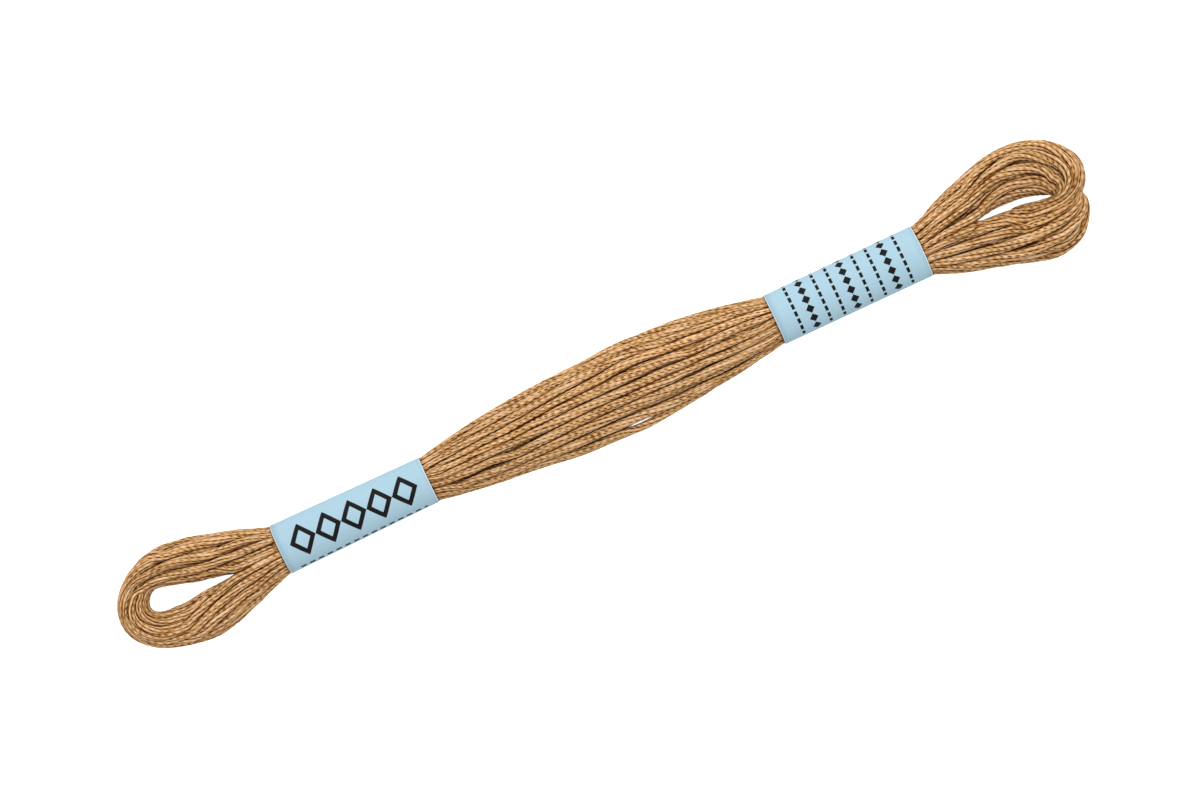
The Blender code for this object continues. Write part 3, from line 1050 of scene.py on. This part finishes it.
    def build(self, material: bpy.types.Material) -> None:
        """Lays the strands and makes the pieces, each of about five turns.

        Args:
            material: The floss's finish.
        """
        self.layout.lay_out()
        self.section = self.profile()
        self.chance = np.random.default_rng(self.seed)
        whole = self.fine_route()
        along = whole.along
        lengths = (self.thick_drift[1], self.tone_length, self.lay_drift[1])
        thick, whole.tone, loose = (self.wander(along, length)[:, 0] for length in lengths)
        whole.radii = whole.radii * (1 + self.thick_drift[0] * thick)
        whole.tilts = 2 * math.pi * along / self.lay_length + self.lay_drift[0] * loose
        cuts = self.cuts(whole)
        for n, (start, end) in enumerate(zip(cuts, cuts[1:])):
            route = whole.cut(start, end)
            name = f"floss_turns_{n + 1}"
            mesh = self.strand_mesh(name, route)
            self.shape_threads(mesh, route)
            self.close_ends(mesh)
            mesh.materials.clear()
            mesh.materials.append(material)
            mesh.shade_smooth()
            piece = put(name, mesh)
            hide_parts("floss_hank")
            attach(piece, "root")
            length = (along[end] - along[start]) * MM
            log.info("%s: %.2f m of floss, %d faces", name, length, len(mesh.polygons))
        bpy.data.objects.remove(self.section)

    def wander(self, along: np.ndarray, spacing: float, columns: int = 1) -> np.ndarray:
        """Slow random values along the floss, about -1 to 1.

        Args:
            along: The length run at each ring.
            spacing: How far apart a value changes course.
            columns: How many values there are.

        Returns:
            The values, one row for each ring.
        """
        count = int(along[-1] / spacing) + 4
        knots = self.chance.normal(0, self.wander_spread, (count, columns))
        return read_table(knots, along / spacing + 1)

    def shape_threads(self, mesh: bpy.types.Mesh, route: Route) -> None:
        """Notches each thread of a strand with its plies, presses the strand flat and marks it with
        painted shade.

        Args:
            mesh: The strand's mesh, ring after ring.
            route: The strand's middle line.
        """
        rings, kinds = len(route.points), len(self.reaches)
        corners = kinds * self.threads
        co = np.empty(rings * corners * 3)
        mesh.vertices.foreach_get("co", co)
        offset = co.reshape(rings, corners, 3) / MM - route.points[:, None]
        run = route.along - route.along[0]
        bend = self.bending(route)[:, None]
        parted = bend * np.tile(self.opening, self.threads)
        notch = self.notches(run) * (1 - self.notch_bent * bend)
        streak = self.wander(run, self.streak_length, corners)
        sunk = self.notch_reach * notch + self.open_reach * parted + self.streak_reach * streak
        offset *= (1 - sunk)[:, :, None]
        press = self.flatten * (1 + self.wander(run, self.flatten_length))
        offset[:, :, 2] *= 1 - press
        offset[:, :, :2] *= 1 + press[:, :, None] * self.widen
        co = route.points[:, None] + offset
        co[:, :, 2] = np.maximum(co[:, :, 2], 0)
        for band in self.bands:
            band.press_in(co)
        mesh.vertices.foreach_set("co", (co * MM).ravel())
        # Painted shade: more in a thread's groove than on its crest, in the notches between plies and in
        # grooves that open at bends, plus random streaks of tone
        shade = np.tile(self.painted_shades, self.threads) + self.streak_shade * streak
        notch_shade = np.repeat(np.tile(self.notch_shades, self.threads), 2)
        shade = shade + notch_shade * notch + self.open_shade * parted
        # Painted shade in the crevices beside other strands, less at bends, and painted shadow where the
        # floss goes in under a band
        mean, spread, length = self.crevice_shade
        dark = np.clip(mean + spread * self.wander(run, length), self.crevice_least, 1)
        dark = dark * (1 - self.crevice_bent * bend)
        dark = np.maximum(dark * self.crevices(co, route), self.under(co))
        # All the painted shade together, kept as the depth attribute that the floss's colour ramp reads
        depth = 1 - (1 - shade) * (1 - dark)
        turn = 2 * math.pi * np.arange(corners) / corners + self.fibre_turn * route.along[:, None]
        straight = np.stack([np.cos(turn), np.sin(turn), 0 * turn], axis=2)
        straight *= route.radii[:, None, None]
        straight[:, :, 2] = route.along[:, None]
        values = {"depth": np.clip(depth, 0, 1), "tone": np.repeat(route.tone, corners)}
        for name, value in values.items():
            marks = mesh.attributes.new(name, "FLOAT", "POINT")
            marks.data.foreach_set("value", value.ravel().astype(np.float32))
        marks = mesh.attributes.new("straightened", "FLOAT_VECTOR", "POINT")
        marks.data.foreach_set("vector", straight.ravel().astype(np.float32))
        mesh.update()

    def notches(self, run: np.ndarray) -> np.ndarray:
        """The notches between the plies, in a row down each groove and each crest by turns.

        Args:
            run: The length run at each ring.

        Returns:
            How deep each corner is notched, by ring and corner.
        """
        rows = 2 * self.threads
        turn = run[:, None] / self.ply_length + 0.5 * np.arange(rows)
        slip, length = self.notch_drift
        turn += slip * self.wander(run, length, rows)
        mean, spread, length = self.notch_strength
        strength = np.clip(mean + spread * self.wander(run, length, rows), *self.notch_limits)
        sharpness = np.tile(self.notch_sharpness, self.threads)
        row = ((1 + np.cos(2 * math.pi * turn)) / 2) ** sharpness * strength
        between = self.notch_between * (row + np.roll(row, -1, axis=1))
        return np.stack([row, between], axis=2).reshape(len(run), 2 * rows)

    def bending(self, route: Route) -> np.ndarray:
        """How sharply a strand bends, evened out along it.

        Args:
            route: The strand's middle line.

        Returns:
            A value from 0 to 1 for each ring.
        """
        heading = np.gradient(route.points, route.along, axis=0)
        turn = np.linalg.norm(np.gradient(heading, route.along, axis=0), axis=1)
        even = np.arange(route.along[0], route.along[-1], 1.0)
        window = np.ones(self.bend_window) / self.bend_window
        smooth = np.convolve(np.interp(even, route.along, turn), window, "same")
        return ease(np.interp(route.along, even, smooth) * self.bend_scale)

    def crevices(self, co: np.ndarray, route: Route) -> np.ndarray:
        """How deep each point of a strand lies in the groove beside another, from 0 to 1.

        Args:
            co: The points, by ring and corner.
            route: The strand's middle line.

        Returns:
            One value for each point.
        """
        heading = np.gradient(route.points, axis=0)
        heading /= np.linalg.norm(heading, axis=1)[:, None]
        off = route.crowd - route.points[:, None]
        off -= np.einsum("rsx,rx->rs", off, heading)[:, :, None] * heading[:, None]
        away = np.linalg.norm(off, axis=2)
        away[away < self.own * route.radii[:, None]] = np.inf
        nearest = np.argpartition(away, self.beside, axis=1)[:, : self.beside, None]
        across = np.take_along_axis(off, nearest, axis=1)
        across[np.take_along_axis(away, nearest[:, :, 0], axis=1) == np.inf] = FAR_OFF
        rim = co - route.points[:, None]
        apart = np.linalg.norm(rim[:, :, None] - across[:, None], axis=3).min(axis=2)
        return ease((self.crevice_edge - apart / route.radii[:, None]) / self.crevice_width)

    def under(self, co: np.ndarray) -> np.ndarray:
        """How much shadow is painted where the floss goes in under a paper band.

        Args:
            co: The points, by ring and corner.

        Returns:
            One value for each point.
        """
        outside = np.minimum(*(band.outside(co[:, :, 0]) for band in self.bands))
        return self.under_shade * ease(1 - outside / self.under_reach)

    @staticmethod
    def close_ends(mesh: bpy.types.Mesh) -> None:
        """Closes a strand's two cut ends, and turns its faces outwards.

        Args:
            mesh: The strand's mesh.
        """
        ends = bmesh.new()
        ends.from_mesh(mesh)
        bmesh.ops.holes_fill(ends, edges=[edge for edge in ends.edges if edge.is_boundary], sides=0)
        bmesh.ops.recalc_face_normals(ends, faces=ends.faces)
        ends.to_mesh(mesh)
        ends.free()


@dataclass
class PaperBand:
    """A strip of thin paper wrapped round the bundle and glued to itself underneath.

    Its two ends may differ in where their low and high edges lie.
    """

    node: str
    x_start: float
    x_end: float
    low_start: float
    low_end: float
    high_start: float
    high_end: float
    height: float = 5.6
    thickness: float = 0.10
    lap: float = 5.0  # how far the glued ends overlap
    lap_slope: float = 1.5  # over which the inner end comes down past the outer end's edge
    lap_lift: float = 1.3  # how far above the outer end it lies, in thicknesses of paper
    bow: float = 0.06  # how far the paper's ends bulge along the skein at the crown
    room: float = 0.02  # between the paper and the floss that it presses in
    flare: float = 0.5  # how fast the floss may spread past the paper's ends
    reach: float = 2.0  # how far past them the floss is still shaped
    along_faces: int = 20
    around_faces: int = 150
    oval_points: int = 401

    def outside(self, x: np.ndarray) -> np.ndarray:
        """How far places along the skein are past the paper's ends, below 0 inside them."""
        return np.maximum(self.x_start - x, x - self.x_end)

    def edges(self, share: np.ndarray | float) -> tuple[np.ndarray | float, np.ndarray | float]:
        """Where the low and high edge lie at a share of the way along the band."""
        low = self.low_start + (self.low_end - self.low_start) * share
        return low, self.high_start + (self.high_end - self.high_start) * share

    def rise(self) -> float:
        """Half the height of the band's oval, of which the table top cuts off the foot."""
        return self.height * (1 + Slices.FLAT_SINK) / 2

    def press_in(self, co: np.ndarray) -> None:
        """Presses the floss in behind the paper, in place.

        Args:
            co: Points of the floss, by ring and corner.
        """
        low, high = self.edges((co[:, :, 0] - self.x_start) / (self.x_end - self.x_start))
        outside = np.maximum(self.outside(co[:, :, 0]), 0)
        wall = self.thickness + self.room - self.flare * outside
        rise = self.rise()
        middle, sunk = (low + high) / 2, self.height - rise
        across = (co[:, :, 1] - middle) / ((high - low) / 2 - wall)
        over = np.maximum(np.hypot(across, (co[:, :, 2] - sunk) / (rise - wall)), 1)
        over[outside > self.reach] = 1
        co[:, :, 1] = middle + (co[:, :, 1] - middle) / over
        co[:, :, 2] = sunk + (co[:, :, 2] - sunk) / over

    def oval(self, share: float) -> tuple[np.ndarray, np.ndarray, np.ndarray]:
        """The band's outside at a share of the way along it.

        Args:
            share: From 0 at its left end to 1 at its right end.

        Returns:
            How far round each point lies, from the middle of the underside, and its y and z.
        """
        low, high = self.edges(share)
        rise = self.rise()
        # From under the middle, by the low side and over the top
        turn = np.linspace(1, -1, self.oval_points)
        angle = math.pi * (0.5 - np.abs(turn))
        y = (low + high) / 2 - (high - low) / 2 * np.cos(angle) * np.sign(turn)
        z = np.maximum(0, self.height - rise + rise * np.sin(angle))
        steps = np.hypot(np.diff(y), np.diff(z))
        return np.concatenate([[0], np.cumsum(steps)]), y, z

    def girth(self) -> float:
        """The length of paper that goes once round, at the middle of the band."""
        return float(self.oval(0.5)[0][-1])

    def build(self, material: bpy.types.Material) -> None:
        """Wraps the paper.

        Args:
            material: The paper's finish.
        """
        name = self.node.replace("paper_band", "paper_wrap")
        mesh = bmesh.new()
        place = mesh.loops.layers.uv.new("UVMap")
        bmesh.ops.create_grid(
            mesh, x_segments=self.along_faces, y_segments=self.around_faces, size=0.5
        )
        for face in mesh.faces:
            for corner in face.loops:
                corner[place].uv = (corner.vert.co.x + 0.5, corner.vert.co.y + 0.5)
        for point in mesh.verts:
            self.wrap(point)
        data = bpy.data.meshes.new(name)
        mesh.to_mesh(data)
        mesh.free()
        data.shade_smooth()
        data.materials.append(material)
        band = put(name, data)
        wall = band.modifiers.new("paper", "SOLIDIFY")
        wall.thickness = self.thickness * MM
        wall.offset = -1
        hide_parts(self.node)
        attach(band, "root")

    def wrap(self, point: bmesh.types.BMVert) -> None:
        """Moves a point of the flat sheet to its place round the bundle.

        Args:
            point: The point, on a square of side 1 round the origin.
        """
        share, round_share = point.co.x + 0.5, point.co.y + 0.5
        around, y, z = self.oval(share)
        run = round_share * (around[-1] + self.lap)
        under = 1 - float(ease(np.array((run - self.lap) / self.lap_slope)))
        at = (run - self.lap / 2) % around[-1]
        across, up = np.interp(at, around, y), np.interp(at, around, z)
        lift = self.lap_lift * self.thickness * under
        crown = 1 - ((run - self.lap / 2) / around[-1] * 2 - 1) ** 2
        end = 2 * share - 1
        x = self.x_start + (self.x_end - self.x_start) * share + self.bow * end**3 * max(crown, 0)
        point.co = Vector((x, across, up + lift)) * MM


class Graph:
    """A node tree being wired up."""

    def __init__(self, tree: bpy.types.NodeTree) -> None:
        """Starts on a node tree."""
        self.tree = tree

    def node(self, kind: str, inputs: dict | None = None, **settings: object) -> bpy.types.Node:
        """Adds a node.

        Args:
            kind: The node's type, without the ShaderNode in front.
            inputs: Values or sockets for its inputs, by name or index.
            settings: Its other settings.

        Returns:
            The node.
        """
        made = self.tree.nodes.new("ShaderNode" + kind)
        for name, value in settings.items():
            setattr(made, name, value)
        for name, value in (inputs or {}).items():
            if isinstance(value, bpy.types.NodeSocket):
                self.tree.links.new(value, made.inputs[name])
            else:
                made.inputs[name].default_value = value
        return made

    def math(self, operation: str, *values: object) -> bpy.types.NodeSocket:
        """The result of a math node on numbers or sockets."""
        return self.node("Math", dict(enumerate(values)), operation=operation).outputs[0]

    def mix(self, factor: object, first: object, second: object) -> bpy.types.NodeSocket:
        """The first colour where the factor is 0, and the second where it is 1."""
        inputs = {"Factor": factor, "A": first, "B": second}
        return self.node("Mix", inputs, data_type="RGBA").outputs["Result"]

    def surface(
        self,
        colour: bpy.types.NodeSocket,
        light: bpy.types.NodeSocket,
        height: bpy.types.NodeSocket,
        bump: tuple[float, float],
    ) -> None:
        """Wires a colour and a fine bump to the material's shader.

        Args:
            colour: The colour.
            light: What its brightness is multiplied by.
            height: The height of the bump.
            bump: How high it stands in metres, and how strong it is.
        """
        shader = self.tree.nodes["Principled BSDF"]
        shaded = self.node("HueSaturation", {"Color": colour, "Value": light})
        self.tree.links.new(shaded.outputs["Color"], shader.inputs["Base Color"])
        inputs = {"Height": height, "Distance": bump[0], "Strength": bump[1]}
        relief = self.node("Bump", inputs)
        self.tree.links.new(relief.outputs["Normal"], shader.inputs["Normal"])


def new_material(name: str, values: dict[str, object]) -> tuple[bpy.types.Material, Graph]:
    """A material whose shader has fixed values.

    Args:
        name: The material's name.
        values: The values, by the shader's inputs.

    Returns:
        The material, and its node tree being wired up.
    """
    made = bpy.data.materials.new(name)
    made.use_nodes = True
    shader = made.node_tree.nodes["Principled BSDF"]
    for socket, value in values.items():
        shader.inputs[socket].default_value = value
    return made, Graph(made.node_tree)


def hair_group() -> bpy.types.NodeTree:
    """A group that gives fine hairs or fibres, as a height and a lightness around 1.

    Returns:
        The group, with a scale, an amount and a place as its inputs.
    """
    group = bpy.data.node_groups.new("fine_fibres", "ShaderNodeTree")
    group.interface.new_socket("Place", in_out="INPUT", socket_type="NodeSocketVector")
    for name in ("Scale", "Amount"):
        group.interface.new_socket(name, in_out="INPUT", socket_type="NodeSocketFloat")
    for name in ("Lightness", "Height"):
        group.interface.new_socket(name, in_out="OUTPUT", socket_type="NodeSocketFloat")
    graph = Graph(group)
    inside = group.nodes.new("NodeGroupInput")
    outside = group.nodes.new("NodeGroupOutput")
    place, scale = inside.outputs["Place"], inside.outputs["Scale"]
    noise = graph.node("TexNoise", {"Vector": place, "Scale": scale, "Detail": 3.0}).outputs["Fac"]
    centred = graph.math("SUBTRACT", noise, 0.5)
    light = graph.math("MULTIPLY_ADD", centred, inside.outputs["Amount"], 1.0)
    group.links.new(light, outside.inputs["Lightness"])
    group.links.new(noise, outside.inputs["Height"])
    return group


@dataclass(frozen=True)
class FlossFinish:
    """Soft mercerised cotton, with a painted highlight on a thread's crest and painted shade in the
    grooves.
    """

    # The crest colour is a painted highlight, and the body colour is the floss's own tan
    crest: tuple[float, float, float] = (0.765, 0.540, 0.350)
    body: tuple[float, float, float] = (0.515, 0.284, 0.110)
    # The shade and deep colours are painted shade in grooves, notches and crevices
    shade: tuple[float, float, float] = (0.14, 0.042, 0.004)
    deep: tuple[float, float, float] = (0.014, 0.003, 0.0003)
    stops: tuple[float, ...] = (0.0, 0.36, 0.70, 0.95)
    roughness: float = 0.6
    specular: float = 0.05
    sheen: float = 0.08
    sheen_tint: tuple[float, float, float] = (1.0, 0.72, 0.42)
    tone_spread: float = 0.07
    fibre_stretch: float = 0.12  # a fibre's width over its length
    fibre_scale: float = 7.0
    fibre_amount: float = 0.6
    fibre_bump: tuple[float, float] = (0.00005, 0.5)

    def material(self, fibres: bpy.types.NodeTree) -> bpy.types.Material:
        """The floss's material.

        Args:
            fibres: The shared group of fine fibres.

        Returns:
            The material.
        """
        values = {
            "Roughness": self.roughness,
            "Specular IOR Level": self.specular,
            "Sheen Weight": self.sheen,
            "Sheen Tint": (*self.sheen_tint, 1),
        }
        made, graph = new_material("tan_cotton_floss", values)
        depth = graph.node("Attribute", attribute_name="depth").outputs["Fac"]
        tone = graph.node("Attribute", attribute_name="tone").outputs["Fac"]
        straight = graph.node("Attribute", attribute_name="straightened").outputs["Vector"]
        place = graph.node("Mapping", {"Vector": straight, "Scale": (1, 1, self.fibre_stretch)})
        inputs = {
            "Place": place.outputs["Vector"],
            "Scale": self.fibre_scale,
            "Amount": self.fibre_amount,
        }
        hairs = graph.node("Group", inputs, node_tree=fibres)
        # The ramp runs from the painted highlight on the crests, through the floss's own tan, to painted
        # shade
        ramp = graph.node("ValToRGB", {"Fac": depth})
        colours = (self.crest, self.body, self.shade, self.deep)
        for _ in colours[2:]:
            ramp.color_ramp.elements.new(0.5)
        for stop, position, colour in zip(ramp.color_ramp.elements, self.stops, colours):
            stop.position, stop.color = position, (*colour, 1)
        toned = graph.math("MULTIPLY_ADD", tone, self.tone_spread, 1.0)
        light = graph.math("MULTIPLY", toned, hairs.outputs["Lightness"])
        graph.surface(ramp.outputs["Color"], light, hairs.outputs["Height"], self.fibre_bump)
        return made


class Print(Enum):
    """What is printed on a paper band."""

    LOZENGES = "a chain of bold lozenges"
    COLUMNS = "rows of dashes and small lozenges"


@dataclass(frozen=True)
class PaperFinish:
    """Smooth pale blue paper with a plain black print, and a painted highlight along its two cut ends."""

    printed: Print
    length: float  # of the band along the skein
    around: float  # of its strip of paper, with the lap
    colour: tuple[float, float, float] = (0.342, 0.506, 0.598)
    # a painted highlight along the paper's two cut ends, and how wide it is
    edge_highlight: tuple[float, float, float] = (0.62, 0.76, 0.84)
    edge_highlight_width: float = 0.13
    ink: tuple[float, float, float] = (0.004, 0.003, 0.003)
    roughness: float = 0.6
    specular: float = 0.15
    grain_scale: float = 1500.0
    grain_amount: float = 0.08
    grain_bump: tuple[float, float] = (0.00003, 0.3)

    def material(self, fibres: bpy.types.NodeTree) -> bpy.types.Material:
        """The paper's material.

        Args:
            fibres: The shared group of fine fibres.

        Returns:
            The material.
        """
        values = {"Roughness": self.roughness, "Specular IOR Level": self.specular}
        made, graph = new_material("pale_blue_paper_" + self.printed.name.lower(), values)
        place = graph.node("UVMap").outputs["UV"]
        split = graph.node("SeparateXYZ", {"Vector": place})
        along = graph.math("MULTIPLY", split.outputs["X"], self.length)
        around = graph.math("MULTIPLY", graph.math("SUBTRACT", split.outputs["Y"], 0.5), self.around)
        draw = self.lozenges if self.printed is Print.LOZENGES else self.columns
        inked = draw(graph, along, around)
        inputs = {
            "Place": graph.node("TexCoord").outputs["Object"],
            "Scale": self.grain_scale,
            "Amount": self.grain_amount,
        }
        hairs = graph.node("Group", inputs, node_tree=fibres)
        # A painted highlight along both cut ends of the band, with the plain paper colour between
        plain = self.within(graph, along, self.length / 2, self.length / 2 - self.edge_highlight_width)
        paper = graph.mix(plain, (*self.edge_highlight, 1), (*self.colour, 1))
        colour = graph.mix(inked, paper, (*self.ink, 1))
        graph.surface(colour, hairs.outputs["Lightness"], hairs.outputs["Height"], self.grain_bump)
        return made

    @staticmethod
    def within(
        graph: Graph, value: bpy.types.NodeSocket, middle: float, half: float
    ) -> bpy.types.NodeSocket:
        """1 where a value is within half a width of a middle, else 0."""
        off = graph.math("ABSOLUTE", graph.math("SUBTRACT", value, middle))
        return graph.math("LESS_THAN", off, half)

    def lozenges(
        self, graph: Graph, along: bpy.types.NodeSocket, around: bpy.types.NodeSocket
    ) -> bpy.types.NodeSocket:
        """A chain of bold hollow lozenges, evenly spaced along the band, over a row of dashes.

        Args:
            graph: The material's tree.
            along: The place along the band.
            around: The place round it, from the crown.

        Returns:
            1 where there is ink.
        """
        pitch, count, half_height, outer, stroke = 4.3, 5, 2.7, 1.0, 0.21
        dash_pitch, half_dash, row_place, half_row = 1.5, 0.45, -4.4, 0.25
        half_chain = count / 2 * pitch
        printed = self.within(graph, along, self.length / 2, half_chain)
        shifted = graph.math("SUBTRACT", along, self.length / 2 - half_chain)
        wide = self.from_middle(graph, shifted, pitch)
        wide = graph.math("DIVIDE", wide, pitch / 2)
        tall = graph.math("DIVIDE", graph.math("ABSOLUTE", around), half_height)
        ring = self.within(graph, graph.math("ADD", wide, tall), outer - stroke, stroke)
        dashes = graph.math("LESS_THAN", self.from_middle(graph, along, dash_pitch), half_dash)
        row = graph.math("MULTIPLY", self.within(graph, around, row_place, half_row), dashes)
        return graph.math("MULTIPLY", graph.math("MAXIMUM", ring, row), printed)

    @staticmethod
    def from_middle(
        graph: Graph, value: bpy.types.NodeSocket, pitch: float
    ) -> bpy.types.NodeSocket:
        """How far a value is from the middle of its cell, where cells repeat.

        Args:
            graph: The material's tree.
            value: The value.
            pitch: The width of a cell.

        Returns:
            The distance from the middle.
        """
        cell = graph.math("FRACT", graph.math("DIVIDE", value, pitch))
        off = graph.math("ABSOLUTE", graph.math("SUBTRACT", cell, 0.5))
        return graph.math("MULTIPLY", off, pitch)

    def columns(
        self, graph: Graph, along: bpy.types.NodeSocket, around: bpy.types.NodeSocket
    ) -> bpy.types.NodeSocket:
        """Evenly spaced rows across the band: two of fine dashes, then one of small lozenges.

        Args:
            graph: The material's tree.
            along: The place along the band.
            around: The place round it, from the crown.

        Returns:
            1 where there is ink.
        """
        pitch, count, every, place, half_height = 2.3, 9, 3.0, 0.9, 5.4
        dash_pitch, half_dash, half_width = 1.2, 0.42, 0.24
        lozenge_pitch, half_lozenge = 1.55, 0.72
        start = (self.length - pitch * count) / 2
        shifted = graph.math("SUBTRACT", along, start)
        from_row = self.from_middle(graph, shifted, pitch)
        row = graph.math("FLOOR", graph.math("DIVIDE", shifted, pitch))
        third = self.within(graph, graph.math("MODULO", row, every), 1.0, 0.5)
        dash = graph.math("LESS_THAN", self.from_middle(graph, around, dash_pitch), half_dash)
        dash = graph.math("MULTIPLY", dash, graph.math("LESS_THAN", from_row, half_width))
        lozenge = graph.math("ADD", from_row, self.from_middle(graph, around, lozenge_pitch))
        lozenge = graph.math("LESS_THAN", lozenge, half_lozenge)
        plain = graph.math("MULTIPLY", dash, graph.math("SUBTRACT", 1.0, third))
        inked = graph.math("MAXIMUM", plain, graph.math("MULTIPLY", lozenge, third))
        printed = self.within(graph, along, self.length / 2, pitch * count / 2)
        printed = graph.math("MULTIPLY", printed, self.within(graph, around, place, half_height))
        return graph.math("MULTIPLY", inked, printed)


@dataclass
class StrayFibres:
    """A few loose hairs that stand off the two loops, as one piece."""

    count: int = 26
    thickness: float = 0.028
    steps: int = 6
    step: float = 0.2
    root: float = 0.35  # how far inside the outline a hair starts
    lean: float = 1.3  # how far it may lean from straight outwards, in radians
    curl: float = 0.45  # how far it may turn at each step
    heights: tuple[float, float] = (1.5, 4.0)
    rises: tuple[float, float] = (-0.6, 0.4)
    seed: int = 5

    def build(self, material: bpy.types.Material) -> None:
        """Lays the hairs.

        Args:
            material: The floss's finish.
        """
        chance = np.random.default_rng(self.seed)
        curve = bpy.data.curves.new("stray_fibres", "CURVE")
        curve.dimensions = "3D"
        curve.bevel_depth = self.thickness / 2 * MM
        curve.bevel_resolution = 1
        curve.use_fill_caps = True
        right, left = table_of(RIGHT_LOOP)[4:13], table_of(LEFT_LOOP)[3:12]
        tables = (right, right, left)
        for n in range(self.count):
            table = tables[n % len(tables)]
            row = read_table(table, np.array([chance.uniform(0, len(table) - 1)]))[0]
            eye, start = row[:2], row[2:4]
            outward = start - eye
            outward /= np.linalg.norm(outward)
            heading = math.atan2(outward[1], outward[0]) + chance.uniform(-self.lean, self.lean)
            point = np.array([*(start - self.root * outward), chance.uniform(*self.heights)])
            spline = curve.splines.new("POLY")
            spline.points.add(self.steps)
            bend = chance.uniform(-self.curl, self.curl)
            for knot in spline.points:
                knot.co = (*(point * MM), 1)
                rise = chance.uniform(*self.rises)
                point += self.step * np.array([math.cos(heading), math.sin(heading), rise])
                heading += bend
        mesh = mesh_of(curve)
        mesh.materials.clear()
        mesh.materials.append(material)
        hairs = put("stray_fibres", mesh)
        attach(hairs, "root")
        log.info("stray_fibres: %d hairs", self.count)


@dataclass(frozen=True)
class Studio:
    """The white table, the soft light and the camera straight above."""

    roll: float = 25.3  # how far the skein's axis rises to the right in the picture
    distance: float = 645.0
    frame_width: float = 184.6
    centre: tuple[float, float] = (-0.6, 0.8)
    mid_height: float = 2.5
    sensor: float = 36.0
    clip: tuple[float, float] = (0.01, 10.0)
    surrounding: float = 0.85
    lamp_power: float = 3.0
    lamp_size: tuple[float, float] = (0.5, 0.3)
    lamp_place: tuple[float, float] = (0.4, 0.6)  # up the picture and above the table, in metres
    table_half: float = 1.5  # in metres
    table_grey: float = 0.8
    table_roughness: float = 0.9
    table_glow: float = 1.0  # what the camera sees of it; it lights nothing

    def camera(self) -> None:
        """A camera that looks straight down, turned so that the skein lies on a slant."""
        lens = bpy.data.cameras.new("camera")
        lens.sensor_width = self.sensor
        lens.lens = self.sensor * (self.distance - self.mid_height) / self.frame_width
        lens.clip_start, lens.clip_end = self.clip
        camera = put("camera", lens)
        camera.location = (self.centre[0] * MM, self.centre[1] * MM, self.distance * MM)
        camera.rotation_euler = (0, 0, -math.radians(self.roll))
        bpy.context.scene.camera = camera

    def light(self) -> None:
        """A soft light from the top of the picture, and an even white surrounding."""
        world = bpy.data.worlds.new("surrounding")
        world.use_nodes = True
        backdrop = world.node_tree.nodes["Background"]
        backdrop.inputs["Color"].default_value = (1, 1, 1, 1)
        backdrop.inputs["Strength"].default_value = self.surrounding
        bpy.context.scene.world = world
        panel = bpy.data.lights.new("panel", "AREA")
        panel.shape = "RECTANGLE"
        panel.size, panel.size_y = self.lamp_size
        panel.energy = self.lamp_power
        lamp = put("panel", panel)
        turn = math.radians(self.roll)
        up = Vector((math.sin(turn), math.cos(turn), 0))
        beyond, above = self.lamp_place
        lamp.location = up * beyond + Vector((0, 0, above))
        lamp.rotation_euler = lamp.location.to_track_quat("Z", "Y").to_euler()

    def table(self) -> None:
        """A plain white table top that glows softly, so that shadows stay faint."""
        mesh = bmesh.new()
        bmesh.ops.create_grid(mesh, x_segments=1, y_segments=1, size=self.table_half)
        data = bpy.data.meshes.new("table_top")
        mesh.to_mesh(data)
        mesh.free()
        values = {
            "Base Color": (self.table_grey, self.table_grey, self.table_grey, 1),
            "Roughness": self.table_roughness,
            "Emission Color": (1, 1, 1, 1),
        }
        white, graph = new_material("white_table", values)
        seen = graph.node("LightPath").outputs["Is Camera Ray"]
        glow = graph.math("MULTIPLY", seen, self.table_glow)
        strength = white.node_tree.nodes["Principled BSDF"].inputs["Emission Strength"]
        white.node_tree.links.new(glow, strength)
        data.materials.append(white)
        top = put("table_top", data)


def main() -> None:
    """Builds the skein, the table, the light and the camera."""
    logging.basicConfig(level=logging.INFO, format="%(name)s: %(message)s")
    bpy.context.scene.view_settings.view_transform = "Standard"
    studio = Studio()
    studio.camera()
    studio.light()
    studio.table()
    fibres = hair_group()
    cotton = FlossFinish().material(fibres)
    left = PaperBand(
        "paper_band_left",
        x_start=-54.8,
        x_end=-29.65,
        low_start=-3.10,
        low_end=-2.80,
        high_start=5.05,
        high_end=4.74,
    )
    right = PaperBand(
        "paper_band_right",
        x_start=28.95,
        x_end=53.85,
        low_start=-3.65,
        low_end=-3.80,
        high_start=4.60,
        high_end=4.60,
    )
    Hank((left, right)).build(cotton)
    for band, printed in ((left, Print.LOZENGES), (right, Print.COLUMNS)):
        length, around = band.x_end - band.x_start, band.girth() + band.lap
        band.build(PaperFinish(printed, length, around).material(fibres))
    StrayFibres().build(cotton)


if __name__ == "__main__":
    main()
